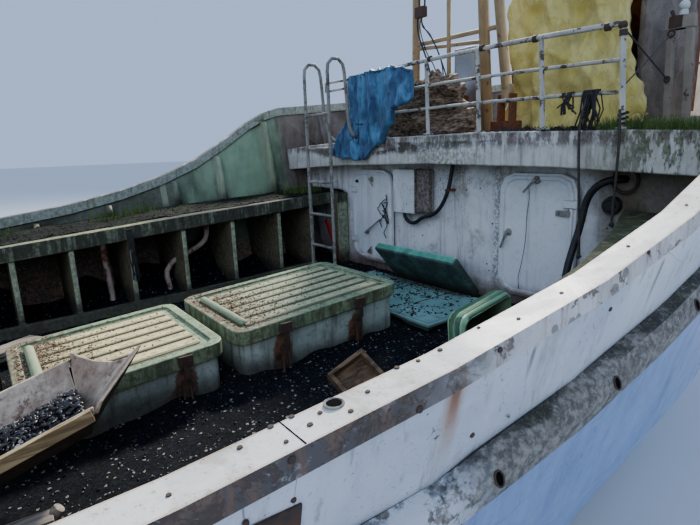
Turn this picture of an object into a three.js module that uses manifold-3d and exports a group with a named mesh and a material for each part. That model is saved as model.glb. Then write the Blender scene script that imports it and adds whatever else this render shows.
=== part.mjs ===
// A small Japanese-type trawler of moulded plastic, 14.7 m long, light and afloat.
// Millimetres. +X is forward, +Y is port, +Z is up. The origin is amidships on the
// centreline, at the waterline.

import * as THREE from 'three';
import { mergeVertices } from 'three/addons/utils/BufferGeometryUtils.js';
import Module from 'manifold-3d';

const wasm = await Module();
wasm.setup();

// Driving dimensions

const GAP = 0.3; // between pieces that touch
const STERN_X = -7300;
const BULKHEAD_X = 3300; // aft face of the forecastle bulkhead
const SHELF_AFT_X = -1200; // where the side shelves end
const WALL = 55; // thickness of the bulwark
const CAP_WIDTH = 83;
const CAP_DEPTH = 80; // at its inner edge
const CAP_FLANGE = 48; // how far its outer edge hangs down
const HEAD_DEPTH = 50; // of the bulwark's outer face under the cap's top

// The sheer, one row a station: x of the cap, half breadth at the cap's inner edge,
// height of the cap's top, x of the same frame at deck level.
const SHEER = [
  { x: -7300, y: 1800, z: 1620, foot: -7300 },
  { x: -5500, y: 1950, z: 1540, foot: -5500 },
  { x: -3500, y: 2050, z: 1500, foot: -3500 },
  { x: -1500, y: 2085, z: 1490, foot: -1500 },
  { x: 390, y: 2100, z: 1532, foot: 390 },
  { x: 890, y: 2135, z: 1592, foot: 890 },
  { x: 1340, y: 2175, z: 1680, foot: 1340 },
  { x: 1720, y: 2200, z: 1788, foot: 1720 },
  { x: 2070, y: 2212, z: 1928, foot: 2070 },
  { x: 2390, y: 2213, z: 2110, foot: 2390 },
  { x: 2660, y: 2206, z: 2290, foot: 2660 },
  { x: 2850, y: 2195, z: 2390, foot: 2850 },
  { x: 3020, y: 2185, z: 2440, foot: 3015 },
  { x: 3920, y: 2085, z: 2510, foot: 3840 },
  { x: 4800, y: 1830, z: 2600, foot: 4600 },
  { x: 5600, y: 1420, z: 2690, foot: 5280 },
  { x: 6300, y: 900, z: 2790, foot: 5860 },
  { x: 6900, y: 380, z: 2880, foot: 6360 },
  { x: 7230, y: 20, z: 2940, foot: 6700 },
];

// The hull under the deck, one row a station: half breadth and height of the deck's
// edge, the corner that the bilge is drawn towards, and the bottom beside the keel.
const HULL = [
  { x: -7300, deckY: 1760, deckZ: 740, bilgeY: 1700, bilgeZ: -60, bottomY: 60, bottomZ: 20 },
  { x: -6400, deckY: 1830, deckZ: 725, bilgeY: 1780, bilgeZ: -160, bottomY: 60, bottomZ: -60 },
  { x: -5000, deckY: 1920, deckZ: 710, bilgeY: 1860, bilgeZ: -400, bottomY: 60, bottomZ: -330 },
  { x: -3000, deckY: 2000, deckZ: 700, bilgeY: 1930, bilgeZ: -560, bottomY: 60, bottomZ: -600 },
  { x: -1000, deckY: 2035, deckZ: 705, bilgeY: 1940, bilgeZ: -600, bottomY: 60, bottomZ: -690 },
  { x: 800, deckY: 2040, deckZ: 755, bilgeY: 1850, bilgeZ: -540, bottomY: 60, bottomZ: -710 },
  { x: 2200, deckY: 2010, deckZ: 795, bilgeY: 1600, bilgeZ: -440, bottomY: 60, bottomZ: -690 },
  { x: 3300, deckY: 1900, deckZ: 830, bilgeY: 1250, bilgeZ: -330, bottomY: 60, bottomZ: -640 },
  { x: 4300, deckY: 1620, deckZ: 880, bilgeY: 820, bilgeZ: -230, bottomY: 60, bottomZ: -560 },
  { x: 5200, deckY: 1160, deckZ: 940, bilgeY: 420, bilgeZ: -150, bottomY: 60, bottomZ: -420 },
  { x: 5900, deckY: 680, deckZ: 1000, bilgeY: 200, bilgeZ: -20, bottomY: 55, bottomZ: -160 },
  { x: 6400, deckY: 290, deckZ: 1050, bilgeY: 110, bilgeZ: 260, bottomY: 45, bottomZ: 210 },
  { x: 6720, deckY: 60, deckZ: 1085, bilgeY: 50, bilgeZ: 700, bottomY: 30, bottomZ: 640 },
];

const SHELF = [ // inner edge and top of the side shelf
  { x: -1200, y: 1420, z: 1335 },
  { x: 300, y: 1340, z: 1400 },
  { x: 1560, y: 1300, z: 1490 },
  { x: 3290, y: 1400, z: 1575 },
];

const LEDGE = [ // the same of the narrow ledge on the other side
  { x: 1200, y: 1960, z: 1465 },
  { x: 1560, y: 1890, z: 1490 },
  { x: 2050, y: 1790, z: 1510 },
  { x: 2700, y: 1600, z: 1545 },
  { x: 3295, y: 1380, z: 1575 },
];

const STRAKE = [ // middle and half height of the rubbing strake
  { x: -7300, z: 1275, half: 70 },
  { x: -3500, z: 1235, half: 70 },
  { x: -500, z: 1230, half: 70 },
  { x: 900, z: 1252, half: 70 },
  { x: 1340, z: 1332, half: 86 },
  { x: 1700, z: 1423, half: 88 },
  { x: 2000, z: 1504, half: 88 },
  { x: 3000, z: 1740, half: 85 },
  { x: 4800, z: 2120, half: 75 },
  { x: 6300, z: 2390, half: 65 },
  { x: 7150, z: 2512, half: 60 },
];

// Materials

const paint = (name, color, roughness = 0.8, metalness = 0) => {
  const material = new THREE.MeshStandardMaterial({ color, roughness, metalness });
  material.name = name;
  return material;
};

// Shapes

function toSolid(geometry) {
  const bare = geometry.clone();
  bare.deleteAttribute('normal');
  bare.deleteAttribute('uv');
  const welded = mergeVertices(bare, 1e-3);
  const vertProperties = new Float32Array(welded.attributes.position.array);
  const triVerts = new Uint32Array(welded.index.array);
  return new wasm.Manifold(new wasm.Mesh({ numProp: 3, vertProperties, triVerts }));
}

function toGeometry(solid) {
  const mesh = solid.getMesh();
  const geometry = new THREE.BufferGeometry();
  geometry.setAttribute('position', new THREE.BufferAttribute(new Float32Array(mesh.vertProperties), 3));
  geometry.setIndex(new THREE.BufferAttribute(new Uint32Array(mesh.triVerts), 1));
  geometry.computeVertexNormals();
  return geometry;
}

const join = (solids) => solids.reduce((a, b) => a.add(b));
const cut = (solid, tools) => tools.reduce((a, b) => a.subtract(b), solid);

function box(x0, x1, y0, y1, z0, z1) {
  const geometry = new THREE.BoxGeometry(x1 - x0, y1 - y0, z1 - z0);
  geometry.translate((x0 + x1) / 2, (y0 + y1) / 2, (z0 + z1) / 2);
  return toSolid(geometry);
}

// A round bar between two points.
function rod(from, to, radius, sides = 10, endRadius = radius) {
  const a = new THREE.Vector3(...from);
  const b = new THREE.Vector3(...to);
  const geometry = new THREE.CylinderGeometry(endRadius, radius, a.distanceTo(b), sides);
  const turn = new THREE.Quaternion().setFromUnitVectors(
    new THREE.Vector3(0, 1, 0), b.clone().sub(a).normalize());
  geometry.applyQuaternion(turn);
  geometry.translate((a.x + b.x) / 2, (a.y + b.y) / 2, (a.z + b.z) / 2);
  return toSolid(geometry);
}

// Bars through a list of points, with a ball at each bend.
function pipe(points, radius, sides = 8) {
  const bars = points.slice(1).map((point, i) => rod(points[i], point, radius, sides));
  const balls = points.slice(1, -1).map((point) => {
    const geometry = new THREE.SphereGeometry(radius * 1.02, sides, 6);
    geometry.translate(...point);
    return toSolid(geometry);
  });
  return join([...bars, ...balls]);
}

// A hose along a smooth curve through points.
function hose(points, radius, steps, sides = 8) {
  const ring = new THREE.Shape();
  ring.absarc(0, 0, radius, 0, Math.PI * 2);
  const extrudePath = new THREE.CatmullRomCurve3(points.map((p) => new THREE.Vector3(...p)));
  return toSolid(new THREE.ExtrudeGeometry(ring, { steps, extrudePath, curveSegments: sides / 2 }));
}

// A plate cut to an outline, thick along one axis: 'x' takes (y, z) corners,
// 'y' takes (x, z) and 'z' takes (x, y).
function plate(axis, low, high, corners, holes = []) {
  const shape = new THREE.Shape(corners.map(([u, v]) => new THREE.Vector2(u, v)));
  shape.holes = holes.map((hole) => new THREE.Path(hole.map(([u, v]) => new THREE.Vector2(u, v))));
  const geometry = new THREE.ExtrudeGeometry(shape, { depth: high - low, bevelEnabled: false });
  const frames = {
    x: new THREE.Matrix4().set(0, 0, 1, low, 1, 0, 0, 0, 0, 1, 0, 0, 0, 0, 0, 1),
    y: new THREE.Matrix4().set(1, 0, 0, 0, 0, 0, -1, high, 0, 1, 0, 0, 0, 0, 0, 1),
    z: new THREE.Matrix4().set(1, 0, 0, 0, 0, 1, 0, 0, 0, 0, 1, low, 0, 0, 0, 1),
  };
  geometry.applyMatrix4(frames[axis]);
  return toSolid(geometry);
}

// A closed skin over rings of equally many points, its ends closed by fans.
function loft(rings) {
  const positions = [];
  const index = [];
  const n = rings[0].length;
  rings.forEach((ring) => ring.forEach((p) => positions.push(...p)));
  for (let i = 0; i < rings.length - 1; i += 1) {
    for (let k = 0; k < n; k += 1) {
      const a = i * n + k;
      const b = i * n + ((k + 1) % n);
      index.push(a, b, a + n, b, b + n, a + n);
    }
  }
  for (const [start, flip] of [[0, true], [(rings.length - 1) * n, false]]) {
    const ring = rings[start / n];
    const middle = [0, 1, 2].map((axis) => ring.reduce((sum, p) => sum + p[axis], 0) / n);
    const hub = positions.length / 3;
    positions.push(...middle);
    for (let k = 0; k < n; k += 1) {
      const a = start + k;
      const b = start + ((k + 1) % n);
      index.push(...(flip ? [hub, b, a] : [hub, a, b]));
    }
  }
  let volume = 0;
  const point = (i) => new THREE.Vector3(...positions.slice(3 * i, 3 * i + 3));
  for (let t = 0; t < index.length; t += 3) {
    const [a, b, c] = index.slice(t, t + 3).map(point);
    volume += a.dot(b.cross(c));
  }
  const geometry = new THREE.BufferGeometry();
  geometry.setAttribute('position', new THREE.Float32BufferAttribute(positions, 3));
  geometry.setIndex(volume > 0 ? index : index.reverse());
  return toSolid(geometry);
}

// A smooth value between the rows of a table, by their x.
function between(table, key, x) {
  const last = table.length - 1;
  if (x <= table[0].x) return table[0][key];
  if (x >= table[last].x) return table[last][key];
  const i = table.findIndex((row) => row.x > x) - 1;
  const [a, b] = [table[i], table[i + 1]];
  const span = b.x - a.x;
  const step = (b[key] - a[key]) / span;
  const slope = (j) => {
    if (j === 0 || j === last) return step;
    const [p, q, r] = [table[j - 1], table[j], table[j + 1]];
    const left = (q[key] - p[key]) / (q.x - p.x);
    const right = (r[key] - q[key]) / (r.x - q.x);
    return left * right <= 0 ? 0 : (2 * left * right) / (left + right);
  };
  const t = (x - a.x) / span;
  return a[key] * (1 + 2 * t) * (1 - t) ** 2 + b[key] * t * t * (3 - 2 * t)
    + span * (slope(i) * t * (1 - t) ** 2 + slope(i + 1) * t * t * (t - 1));
}

// A straight value between the rows of a table, where a piece follows a facet.
function straight(table, key, x) {
  const after = table.findIndex((row) => row.x > x);
  const i = after < 0 ? table.length - 1 : Math.max(after, 1);
  const [a, b] = [table[i - 1], table[i]];
  return a[key] + (b[key] - a[key]) * (x - a.x) / (b.x - a.x);
}

const hullRows = SHEER.map(({ foot }) => Object.fromEntries(
  Object.keys(HULL[0]).map((key) => [key, key === 'x' ? foot : between(HULL, key, foot)])));
const deckZ = (x) => straight(hullRows, 'deckZ', x);
const deckY = (x) => straight(hullRows, 'deckY', x);
const capY = (x) => between(SHEER, 'y', x);
const capZ = (x) => between(SHEER, 'z', x);
const shelfY = (x) => between(SHELF, 'y', x);
const shelfZ = (x) => between(SHELF, 'z', x);

// Frames of the bulwark, at the rows of the sheer: feet on the deck's edge, heads
// under the cap, outer and inner face, all for the port side.
const frames = SHEER.map((row, i) => {
  const before = SHEER[Math.max(i - 1, 0)];
  const after = SHEER[Math.min(i + 1, SHEER.length - 1)];
  const along = new THREE.Vector2(after.x - before.x, after.y - before.y).normalize();
  const out = new THREE.Vector2(-along.y, along.x);
  return { ...row, out };
});
const shift = (x, y, z, out, by) => [x + out.x * by, y + out.y * by, z];
const mirror = (point, side) => [point[0], point[1] * side, point[2]];

// A strip that follows the bulwark on both sides: section() gives the ring of a
// frame's section on the port side.
function bothSides(rows, section) {
  return join([1, -1].map((side) => loft(rows.map((row) =>
    section(row).map((point) => mirror(point, side))))));
}

const FACE_OUT = CAP_WIDTH - 11; // the outer face's head, out from the cap's inner edge
function faceAt(row, z) { // outer face of the bulwark at a height
  const foot = [row.foot, deckY(row.foot), deckZ(row.foot)];
  const head = shift(row.x, row.y, row.z - HEAD_DEPTH, row.out, FACE_OUT);
  const t = (z - foot[2]) / (head[2] - foot[2]);
  return foot.map((value, axis) => value + (head[axis] - value) * t);
}

// Hull

const KEEL_HALF = 70;
function hullRing(row) {
  const start = [row.bottomY, row.bottomZ];
  const bilge = [row.bilgeY, row.bilgeZ];
  const end = [row.deckY, row.deckZ];
  const half = [0, 0.2, 0.4, 0.6, 0.8, 1].map((t) => [0, 1].map((k) =>
    start[k] * (1 - t) ** 2 + 2 * bilge[k] * t * (1 - t) + end[k] * t * t));
  const port = half.map(([y, z]) => [row.x, y, z]);
  const starboard = half.map(([y, z]) => [row.x, -y, z]).reverse();
  return [...port, ...starboard];
}

const PROP_X = -5980;
const PROP_Z = -560;
const RUDDER_X = -6760;
const HEEL_Z = -1060; // underside of the keel aft
const KEEL_PROFILE = [ // x, z
  [-7000, HEEL_Z], [-7000, HEEL_Z + 90], [-5760, HEEL_Z + 110], [-5640, PROP_Z - 90],
  [-5640, PROP_Z + 90], [-5760, 60], [-5000, 200], [6000, 200], [6420, 420],
  [6060, -230], [5400, -620], [3600, -830], [0, -940],
];
const HOLD = { bottom: -250, half: 340 };
const HATCHES = [ // aft and forward edge of the coaming, its middle across
  { name: '1', x0: 270, x1: 1130, y: -20 },
  { name: '2', x0: 1250, x1: 2340, y: 0 },
];
const HATCH_HALF = 415;
const hatchTop = (x) => 1010 + 0.064 * (x - 1800); // top of the coamings
const ENGINE = { x0: -4700, x1: -3300, half: 380, bottom: -330, top: 520 };

const keel = plate('y', -KEEL_HALF, KEEL_HALF, KEEL_PROFILE);
const holds = HATCHES.map(({ x0, x1, y }) =>
  box(x0 + 90, x1 - 90, y - HOLD.half, y + HOLD.half, HOLD.bottom, 1200));
const engineRoom = box(ENGINE.x0 - 150, ENGINE.x1 + 150, -ENGINE.half - 120, ENGINE.half + 120,
  ENGINE.bottom, 1000);
const rudderTrunk = rod([RUDDER_X, 0, -400], [RUDDER_X, 0, 600], 40, 16);
const shaftBore = rod([PROP_X - 100, 0, PROP_Z], [PROP_X + 560, 0, PROP_Z], 42, 16);
const VENT = { x: 3012, y: -1232, collar: 50, radius: 42 }; // where the vent hose goes through the deck
const ventCollar = rod([VENT.x, VENT.y, deckZ(VENT.x) - 60], [VENT.x, VENT.y, deckZ(VENT.x) + VENT.collar],
  VENT.radius, 14);
const hull = cut(join([loft(hullRows.map(hullRing)), keel, ventCollar]),
  [...holds, engineRoom, rudderTrunk, shaftBore]);

// Levels of the forecastle deck

const LIP_BOTTOM = 1850;
const LIP_TOP = 2070;
const camber = (y) => -15.5 * (y / 1000) ** 2;
const deckRise = (x) => Math.max(0, x - 3500) * 0.035;
const foredeckTop = (x, y) => LIP_TOP + deckRise(x) + camber(y);

// Bulwark, with its stanchions and the transom's own wall

const STANCHION_XS = [-6700, -6000, -5300, -4600, -3900, -3200, -2500, -1800, -700, -100, 620, 1200,
  1820, 2280, 2830, 3480, 4080, 4680, 5280];
const STANCHION = { half: 20, head: 75, foot: 120 };
const TRANSOM = 60;
const bulwarkSkin = bothSides(frames, (row) => {
  const foot = [row.foot, deckY(row.foot), deckZ(row.foot) + GAP];
  const head = shift(row.x, row.y, row.z - HEAD_DEPTH - GAP, row.out, FACE_OUT);
  const innerHead = shift(row.x, row.y, row.z - CAP_DEPTH - GAP, row.out, FACE_OUT - WALL);
  return [foot, head, innerHead, shift(...foot, row.out, -WALL)];
});
const transomWall = box(STERN_X, STERN_X + TRANSOM, -1745, 1745, deckZ(STERN_X) + GAP,
  capZ(STERN_X) - CAP_DEPTH - GAP);
const stanchions = STANCHION_XS.flatMap((x) => [1, -1].map((side) => {
  const row = { x, y: capY(x), z: capZ(x), foot: x, out: new THREE.Vector2(0, 1) };
  const face = (z) => faceAt(row, z)[1] - WALL + 10;
  const onShelf = side > 0 && x > SHELF_AFT_X;
  const onForecastle = x > BULKHEAD_X;
  const floor = onForecastle ? foredeckTop(x, face(2000) - STANCHION.foot) + 2
    : (onShelf ? shelfZ(x) : deckZ(x)) + 5;
  const [low, high] = [face(floor), face(capZ(x) - 90)];
  const corners = [[low, floor], [high, capZ(x) - 90], [high - STANCHION.head, capZ(x) - 90],
    [low - STANCHION.foot, floor]];
  return plate('x', x - STANCHION.half, x + STANCHION.half, corners.map(([y, z]) => [y * side, z]));
}));
// The room between the bulwarks, which trims what stands against them and on the deck.
const STEM_HALF = 52;
const inside = bothSides(frames, (row) => {
  const foot = [row.foot, deckY(row.foot), deckZ(row.foot) + GAP];
  const head = shift(row.x, row.y, row.z - CAP_DEPTH, row.out, FACE_OUT);
  const inner = (point) => {
    const [x, y, z] = shift(...point, row.out, -WALL - GAP);
    return [x, Math.max(y, 1), z];
  };
  const [low, high] = [inner(foot), inner(head)];
  return [high, low, [low[0], -5, low[2]], [high[0], -5, high[2]]];
}).subtract(box(STERN_X - 100, STERN_X + TRANSOM + 1, -3000, 3000, 0, 4000))
  .subtract(plate('y', -STEM_HALF - 1, STEM_HALF + 1,
    [[6590, 1000], [7300, 1000], [7400, 3000], [7070, 3000]]));
const stem = plate('y', -STEM_HALF, STEM_HALF, [[6600, 1092], [6790, 1092], [7300, 2858], [7080, 2858]]);
const bulwark = join([bulwarkSkin, transomWall, stem, ...stanchions]);
const trim = (solid) => solid.intersect(inside);
const aboveDeck = (solid) => solid.subtract(loft(hullRows.map((row) => {
  const top = row.deckZ + GAP;
  return [[row.x, 3000, -2000], [row.x, 3000, top], [row.x, -3000, top], [row.x, -3000, -2000]];
})));

const capRing = (row) => {
  const at = (out, down) => shift(row.x, row.y, row.z - down, row.out, out);
  return [at(0, 0), at(CAP_WIDTH, 0), at(CAP_WIDTH, CAP_FLANGE), at(FACE_OUT, HEAD_DEPTH),
    at(FACE_OUT - WALL, CAP_DEPTH), at(0, CAP_DEPTH)];
};
const clearOf = (solid, other) => [[0, 0, -1], [0, 0, 1], [1, 0, 0], [0, 1, 0], [0, -1, 0]]
  .reduce((rest, way) => rest.subtract(other.translate(way.map((step) => step * GAP))), solid);
const sternCap = box(STERN_X - 15, STERN_X + 90, -1840, 1840, capZ(STERN_X) - CAP_DEPTH, capZ(STERN_X));
const gunwaleCap = clearOf(join([bothSides(frames, capRing), sternCap]), bulwark);

const STRAKE_OUT = 66;
const STRAKE_TURNS = [90, 55, 20, -20, -55, -90].map(THREE.MathUtils.degToRad);
const strakeRing = (row) => {
  const [middle, half] = ['z', 'half'].map((key) => between(STRAKE, key, row.x));
  const at = (z, out) => shift(...faceAt(row, z).slice(0, 2), z, row.out, out);
  return STRAKE_TURNS.map((turn) => at(middle + half * Math.sin(turn),
    Math.max(GAP, STRAKE_OUT * Math.cos(turn))));
};
const strakeNose = plate('y', -120, 120, [[7188, 2465], [7212, 2560], [7310, 2560], [7286, 2465]]);
const rubStrake = clearOf(join([bothSides(frames, strakeRing), strakeNose]), bulwark);

// Side shelf on fins, on the port side only, with two pipes that pass through it

const FIN_XS = [-1180, -740, -320, 0, 380, 750, 1160, 1580, 2020, 2500, 2880];
const BAY_PIPES = [
  { name: '1', radius: 23, points: [[1010, 1600, 1380], [1015, 1600, 1150], [1030, 1600, 960],
    [1035, 1600, 765]] },
  { name: '2', radius: 23, points: [[1870, 1560, 1450], [1868, 1560, 1350], [1845, 1560, 1235],
    [1700, 1560, 1145], [1560, 1560, 1090], [1480, 1560, 1000], [1490, 1560, 880], [1500, 1560, 790]] },
];
const bayPipe = ({ points, radius }, grow = 0) => hose(points, radius + grow, 16);
const shelf = (() => {
  const xs = [SHELF_AFT_X, 300, 890, 1560, 2070, 2660, 3020, BULKHEAD_X - 5];
  const board = (from, to, down) => loft(xs.map((x) => {
    const [y, z] = [shelfY(x), shelfZ(x)];
    return [[x, y + from, z], [x, y + to, z], [x, y + to, z - down], [x, y + from, z - down]];
  }));
  const fins = FIN_XS.map((x) => {
    const [y, z] = [shelfY(x) + 15, shelfZ(x) - 20];
    const corners = [[y, 0], [y + 1500, 0], [y + 1500, z], [y, z]];
    return plate('x', x - 20, x + 20, corners);
  });
  const toe = loft([FIN_XS[0] - 20, 800, 2200, 2900].map((x) => {
    const [y, z] = [straight(SHELF, 'y', x), deckZ(x) + 90];
    return [[x, y - 25, 0], [x, y + 20, 0], [x, y + 20, z], [x, y - 25, z]];
  }));
  const post = box(3165, BULKHEAD_X - 5, 1345, 1480, 0, shelfZ(BULKHEAD_X) - 20);
  return trim(join([board(0, 1500, 40), board(0, 60, 110), toe, post, ...fins]))
    .subtract(bayPipe(BAY_PIPES[0], 1)).subtract(bayPipe(BAY_PIPES[1], 1));
})();
const ledge = clearOf(trim(join([[0, 1500, 40], [0, 40, 100]].map(([from, to, down]) =>
  loft(LEDGE.map(({ x, y, z }) => [[x, -y - from, z], [x, -y - to, z], [x, -y - to, z - down],
    [x, -y - from, z - down]]))))), bulwark);

// Forecastle

const DOOR_HALF_WIDTH = 290;
const DOOR_BOTTOM = 915;
const DOOR_TOP = 1785;
const DOOR_BACK = BULKHEAD_X - 8;
const DOOR_THICK = 36;
const DOORS = [ // middle across, and the side that its hinge is on
  { name: 'port', y: 925, side: 1 },
  { name: 'starboard', y: -830, side: -1 },
];
const rounded = (u0, u1, v0, v1, r) => [
  [u0 + r, v0], [u1 - r, v0], [u1 - r * 0.3, v0 + r * 0.3], [u1, v0 + r], [u1, v1 - r],
  [u1 - r * 0.3, v1 - r * 0.3], [u1 - r, v1], [u0 + r, v1], [u0 + r * 0.3, v1 - r * 0.3],
  [u0, v1 - r], [u0, v0 + r], [u0 + r * 0.3, v0 + r * 0.3],
];
const LIP_X = 3060; // aft face of the forecastle deck's edge
const LIP_DEEP = 90;
const DECK_THICK = 60;
const WIDE = 2600; // past the bulwarks, trimmed back to them
const SPREAD = [1, 0.8, 0.6, 0.4, 0.2, 0, -0.2, -0.4, -0.6, -0.8, -1].map((k) => k * WIDE);
const VENT_RING = { y: -1395, z: 1752, radius: 80, bore: 62, stands: 28 };
const ventDisc = (from, to, radius) => rod([BULKHEAD_X - from, VENT_RING.y, VENT_RING.z],
  [BULKHEAD_X - to, VENT_RING.y, VENT_RING.z], radius, 20);
const bulkhead = trim(join([plate('x', BULKHEAD_X, BULKHEAD_X + 40, [
  [-WIDE, 0], [WIDE, 0],
  ...SPREAD.map((y) => [y, LIP_TOP - DECK_THICK + camber(y) - GAP]),
], DOORS.map(({ y }) => rounded(y - DOOR_HALF_WIDTH + 35, y + DOOR_HALF_WIDTH - 35,
  DOOR_BOTTOM + 35, DOOR_TOP - 35, 90).reverse())), ventDisc(VENT_RING.stands, -10, VENT_RING.radius)]))
  .subtract(ventDisc(100, 10, VENT_RING.bore));

function deckSlab(xs, top, bottom) {
  return loft(xs.map((x) => {
    const line = (level) => SPREAD.map((y) => [x, y, level + deckRise(x) + camber(y)]);
    return [...line(top), ...line(bottom).reverse()];
  }));
}
const FOREDECK_XS = [LIP_X, 3500, 7200];
const foredeck = trim(join([
  deckSlab(FOREDECK_XS, LIP_TOP, LIP_TOP - DECK_THICK),
  deckSlab([LIP_X, LIP_X + LIP_DEEP], LIP_TOP, LIP_BOTTOM),
]));
const underForedeck = deckSlab(FOREDECK_XS, LIP_TOP + GAP, LIP_TOP - 600);
const onForedeck = (solid) => solid.subtract(underForedeck);

function watertightDoor({ y, side }) {
  const leaf = plate('x', DOOR_BACK - DOOR_THICK, DOOR_BACK, rounded(y - DOOR_HALF_WIDTH,
    y + DOOR_HALF_WIDTH, DOOR_BOTTOM, DOOR_TOP, 110));
  const rim = plate('x', DOOR_BACK - DOOR_THICK - 12, DOOR_BACK - DOOR_THICK + 5,
    rounded(y - DOOR_HALF_WIDTH + 20, y + DOOR_HALF_WIDTH - 20, DOOR_BOTTOM + 20, DOOR_TOP - 20, 100),
    [rounded(y - DOOR_HALF_WIDTH + 45, y + DOOR_HALF_WIDTH - 45, DOOR_BOTTOM + 45, DOOR_TOP - 45, 85)
      .reverse()]);
  const hinges = [0.22, 0.78].map((k) => {
    const z = DOOR_BOTTOM + (DOOR_TOP - DOOR_BOTTOM) * k;
    const edge = y + side * DOOR_HALF_WIDTH;
    return box(DOOR_BACK - DOOR_THICK - 16, DOOR_BACK - DOOR_THICK + 4,
      Math.min(edge - side * 90, edge + side * 8), Math.max(edge - side * 90, edge + side * 8),
      z - 25, z + 25);
  });
  return join([leaf, rim, ...hinges]);
}

// Hatches. Their tops follow the slope of the deck.

function softCorners(u0, u1, v0, v1, radius, steps = 3) {
  return [[u1 - radius, v1 - radius, 0], [u0 + radius, v1 - radius, 1], [u0 + radius, v0 + radius, 2],
    [u1 - radius, v0 + radius, 3]].flatMap(([u, v, quarter]) =>
    Array.from({ length: steps + 1 }, (_, i) => {
      const turn = (quarter + i / steps) * Math.PI / 2;
      return [u + radius * Math.cos(turn), v + radius * Math.sin(turn)];
    }));
}
const sloped = (solid) => solid.warp((v) => { v[2] += hatchTop(v[0]); });

const COAMING = { wall: 70, radius: 60 };
function coaming({ x0, x1, y }) {
  const ring = (inset, radius) => softCorners(x0 + inset, x1 - inset, y - HATCH_HALF + inset,
    y + HATCH_HALF - inset, radius);
  return trim(sloped(plate('z', -400, 0, ring(0, COAMING.radius), [ring(COAMING.wall, 20).reverse()])));
}

const LID_LAP = 25;
const LID_THICK = 85;
const LID = { foot: 6, corner: 75, rim: 52, channel: 42, deep: 16, slats: 6, groove: 13, sunk: 5 };
function hatchLid({ x0, x1, y }) {
  const ring = (inset, radius) => softCorners(x0 - LID_LAP + inset, x1 + LID_LAP - inset,
    y - HATCH_HALF - LID_LAP + inset, y + HATCH_HALF + LID_LAP - inset, radius);
  const panel = LID.rim + LID.channel;
  const width = 2 * (HATCH_HALF + LID_LAP - panel);
  const grooves = Array.from({ length: LID.slats - 1 }, (_, i) => {
    const middle = y - width / 2 + (i + 1) * width / LID.slats;
    return box(x0, x1, middle - LID.groove / 2, middle + LID.groove / 2, LID_THICK - LID.deep, 200)
      .intersect(plate('z', 0, 300, ring(panel - 10, 30)));
  });
  return sloped(cut(plate('z', LID.foot, LID_THICK, ring(0, LID.corner)), [
    plate('z', LID_THICK - LID.deep, 300, ring(LID.rim, 45), [ring(panel, 25).reverse()]),
    plate('z', LID_THICK - LID.sunk, 300, ring(panel - 5, 25)),
    ...grooves,
  ]));
}

const lowHatch = trim(join([
  box(2470, 3090, -595, 700, 700, 850),
  box(2430, 3130, -640, 740, 846, 868),
  box(2450, 3110, -620, 720, 860, 876),
]).subtract(box(2400, 3300, 118, 128, 868, 900)));

// Loose gear on the well deck

const looseLid = (() => {
  const geometry = new THREE.BoxGeometry(75, 880, 415);
  geometry.rotateY(-0.715);
  geometry.translate(3058, 20, 1019);
  return toSolid(geometry);
})();
const greenBlock = (() => {
  const side = new THREE.Shape(softCorners(-235, 235, -180, 180, 60).map(([u, v]) => new THREE.Vector2(u, v)));
  const geometry = new THREE.ExtrudeGeometry(side, { depth: 64, bevelSize: 22, bevelThickness: 24,
    bevelOffset: -22, bevelSegments: 2 });
  geometry.translate(0, 0, -32);
  geometry.rotateX(Math.PI / 2);
  geometry.rotateY(-0.11);
  geometry.rotateZ(0.09);
  geometry.translate(2310, -1150, 997);
  return toSolid(geometry);
})();
const TRAY = { x: 1548, y: -1092, z: 912, length: 210, breadth: 290, height: 60, wall: 20, floor: 12 };
const tray = (() => {
  const { length, breadth, height, wall, floor } = TRAY;
  const inner = new THREE.BoxGeometry(length - 2 * wall, breadth - 2 * wall, height);
  inner.translate(0, 0, floor);
  const solid = toSolid(new THREE.BoxGeometry(length, breadth, height)).subtract(toSolid(inner));
  const geometry = toGeometry(solid);
  geometry.rotateX(0.61);
  geometry.rotateY(-0.37);
  geometry.rotateZ(-0.05);
  geometry.translate(TRAY.x, TRAY.y, TRAY.z);
  const prop = box(TRAY.x + 10, TRAY.x + 70, TRAY.y + 10, TRAY.y + 70, 0, TRAY.z + 12);
  return aboveDeck(join([toSolid(geometry), prop]));
})();
const CHUTE = { aft: -260, front: 450, near: -1000, far: -500, rise: 0.27, deep: 140, skin: 14 };
const chuteRim = (x) => 1095 + CHUTE.rise * (x - 200);
const CHUTE_SECTION = [ // y of the trough's skin, how far under the rim
  { y: -1000, down: 0 }, { y: -1000, down: 34 }, { y: -880, down: 140 }, { y: -620, down: 140 },
  { y: -500, down: 0 },
];
const CHUTE_END = [ // y, foot under the rim, x and height of the flared end's top edge
  { y: -1000, down: 34, x: 468, z: 1168 },
  { y: -930, down: 96, x: 560, z: 1225 },
  { y: -860, down: 140, x: 650, z: 1285 },
  { y: -750, down: 140, x: 622, z: 1205 },
  { y: -650, down: 140, x: 580, z: 1166 },
  { y: -580, down: 93, x: 525, z: 1162 },
  { y: -520, down: 23, x: 478, z: 1175 },
  { y: -500, down: 10, x: 462, z: 1190 },
];
const chute = (() => {
  const { aft, front, skin, deep } = CHUTE;
  const middle = (CHUTE.near + CHUTE.far) / 2;
  const trough = (grow, up, reach) => loft([aft - reach, front + reach].map((x) => CHUTE_SECTION.map(
    ({ y, down }) => [x, y + Math.sign(y - middle) * grow, chuteRim(x) - down + (down ? -grow : up)])));
  const end = loft(CHUTE_END.map(({ y, down, x, z }) => {
    const foot = chuteRim(front) - down;
    return [[front - 2, y, foot], [x, y, z], [x + skin, y, z], [front + skin, y, foot]];
  }));
  const stand = box(-220, -140, -790, -710, 0, chuteRim(-180) - deep - 5);
  return aboveDeck(join([trough(skin, 0, 0).subtract(trough(0, 1, 5)), end, stand]));
})();

// Ladder and rail

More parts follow.
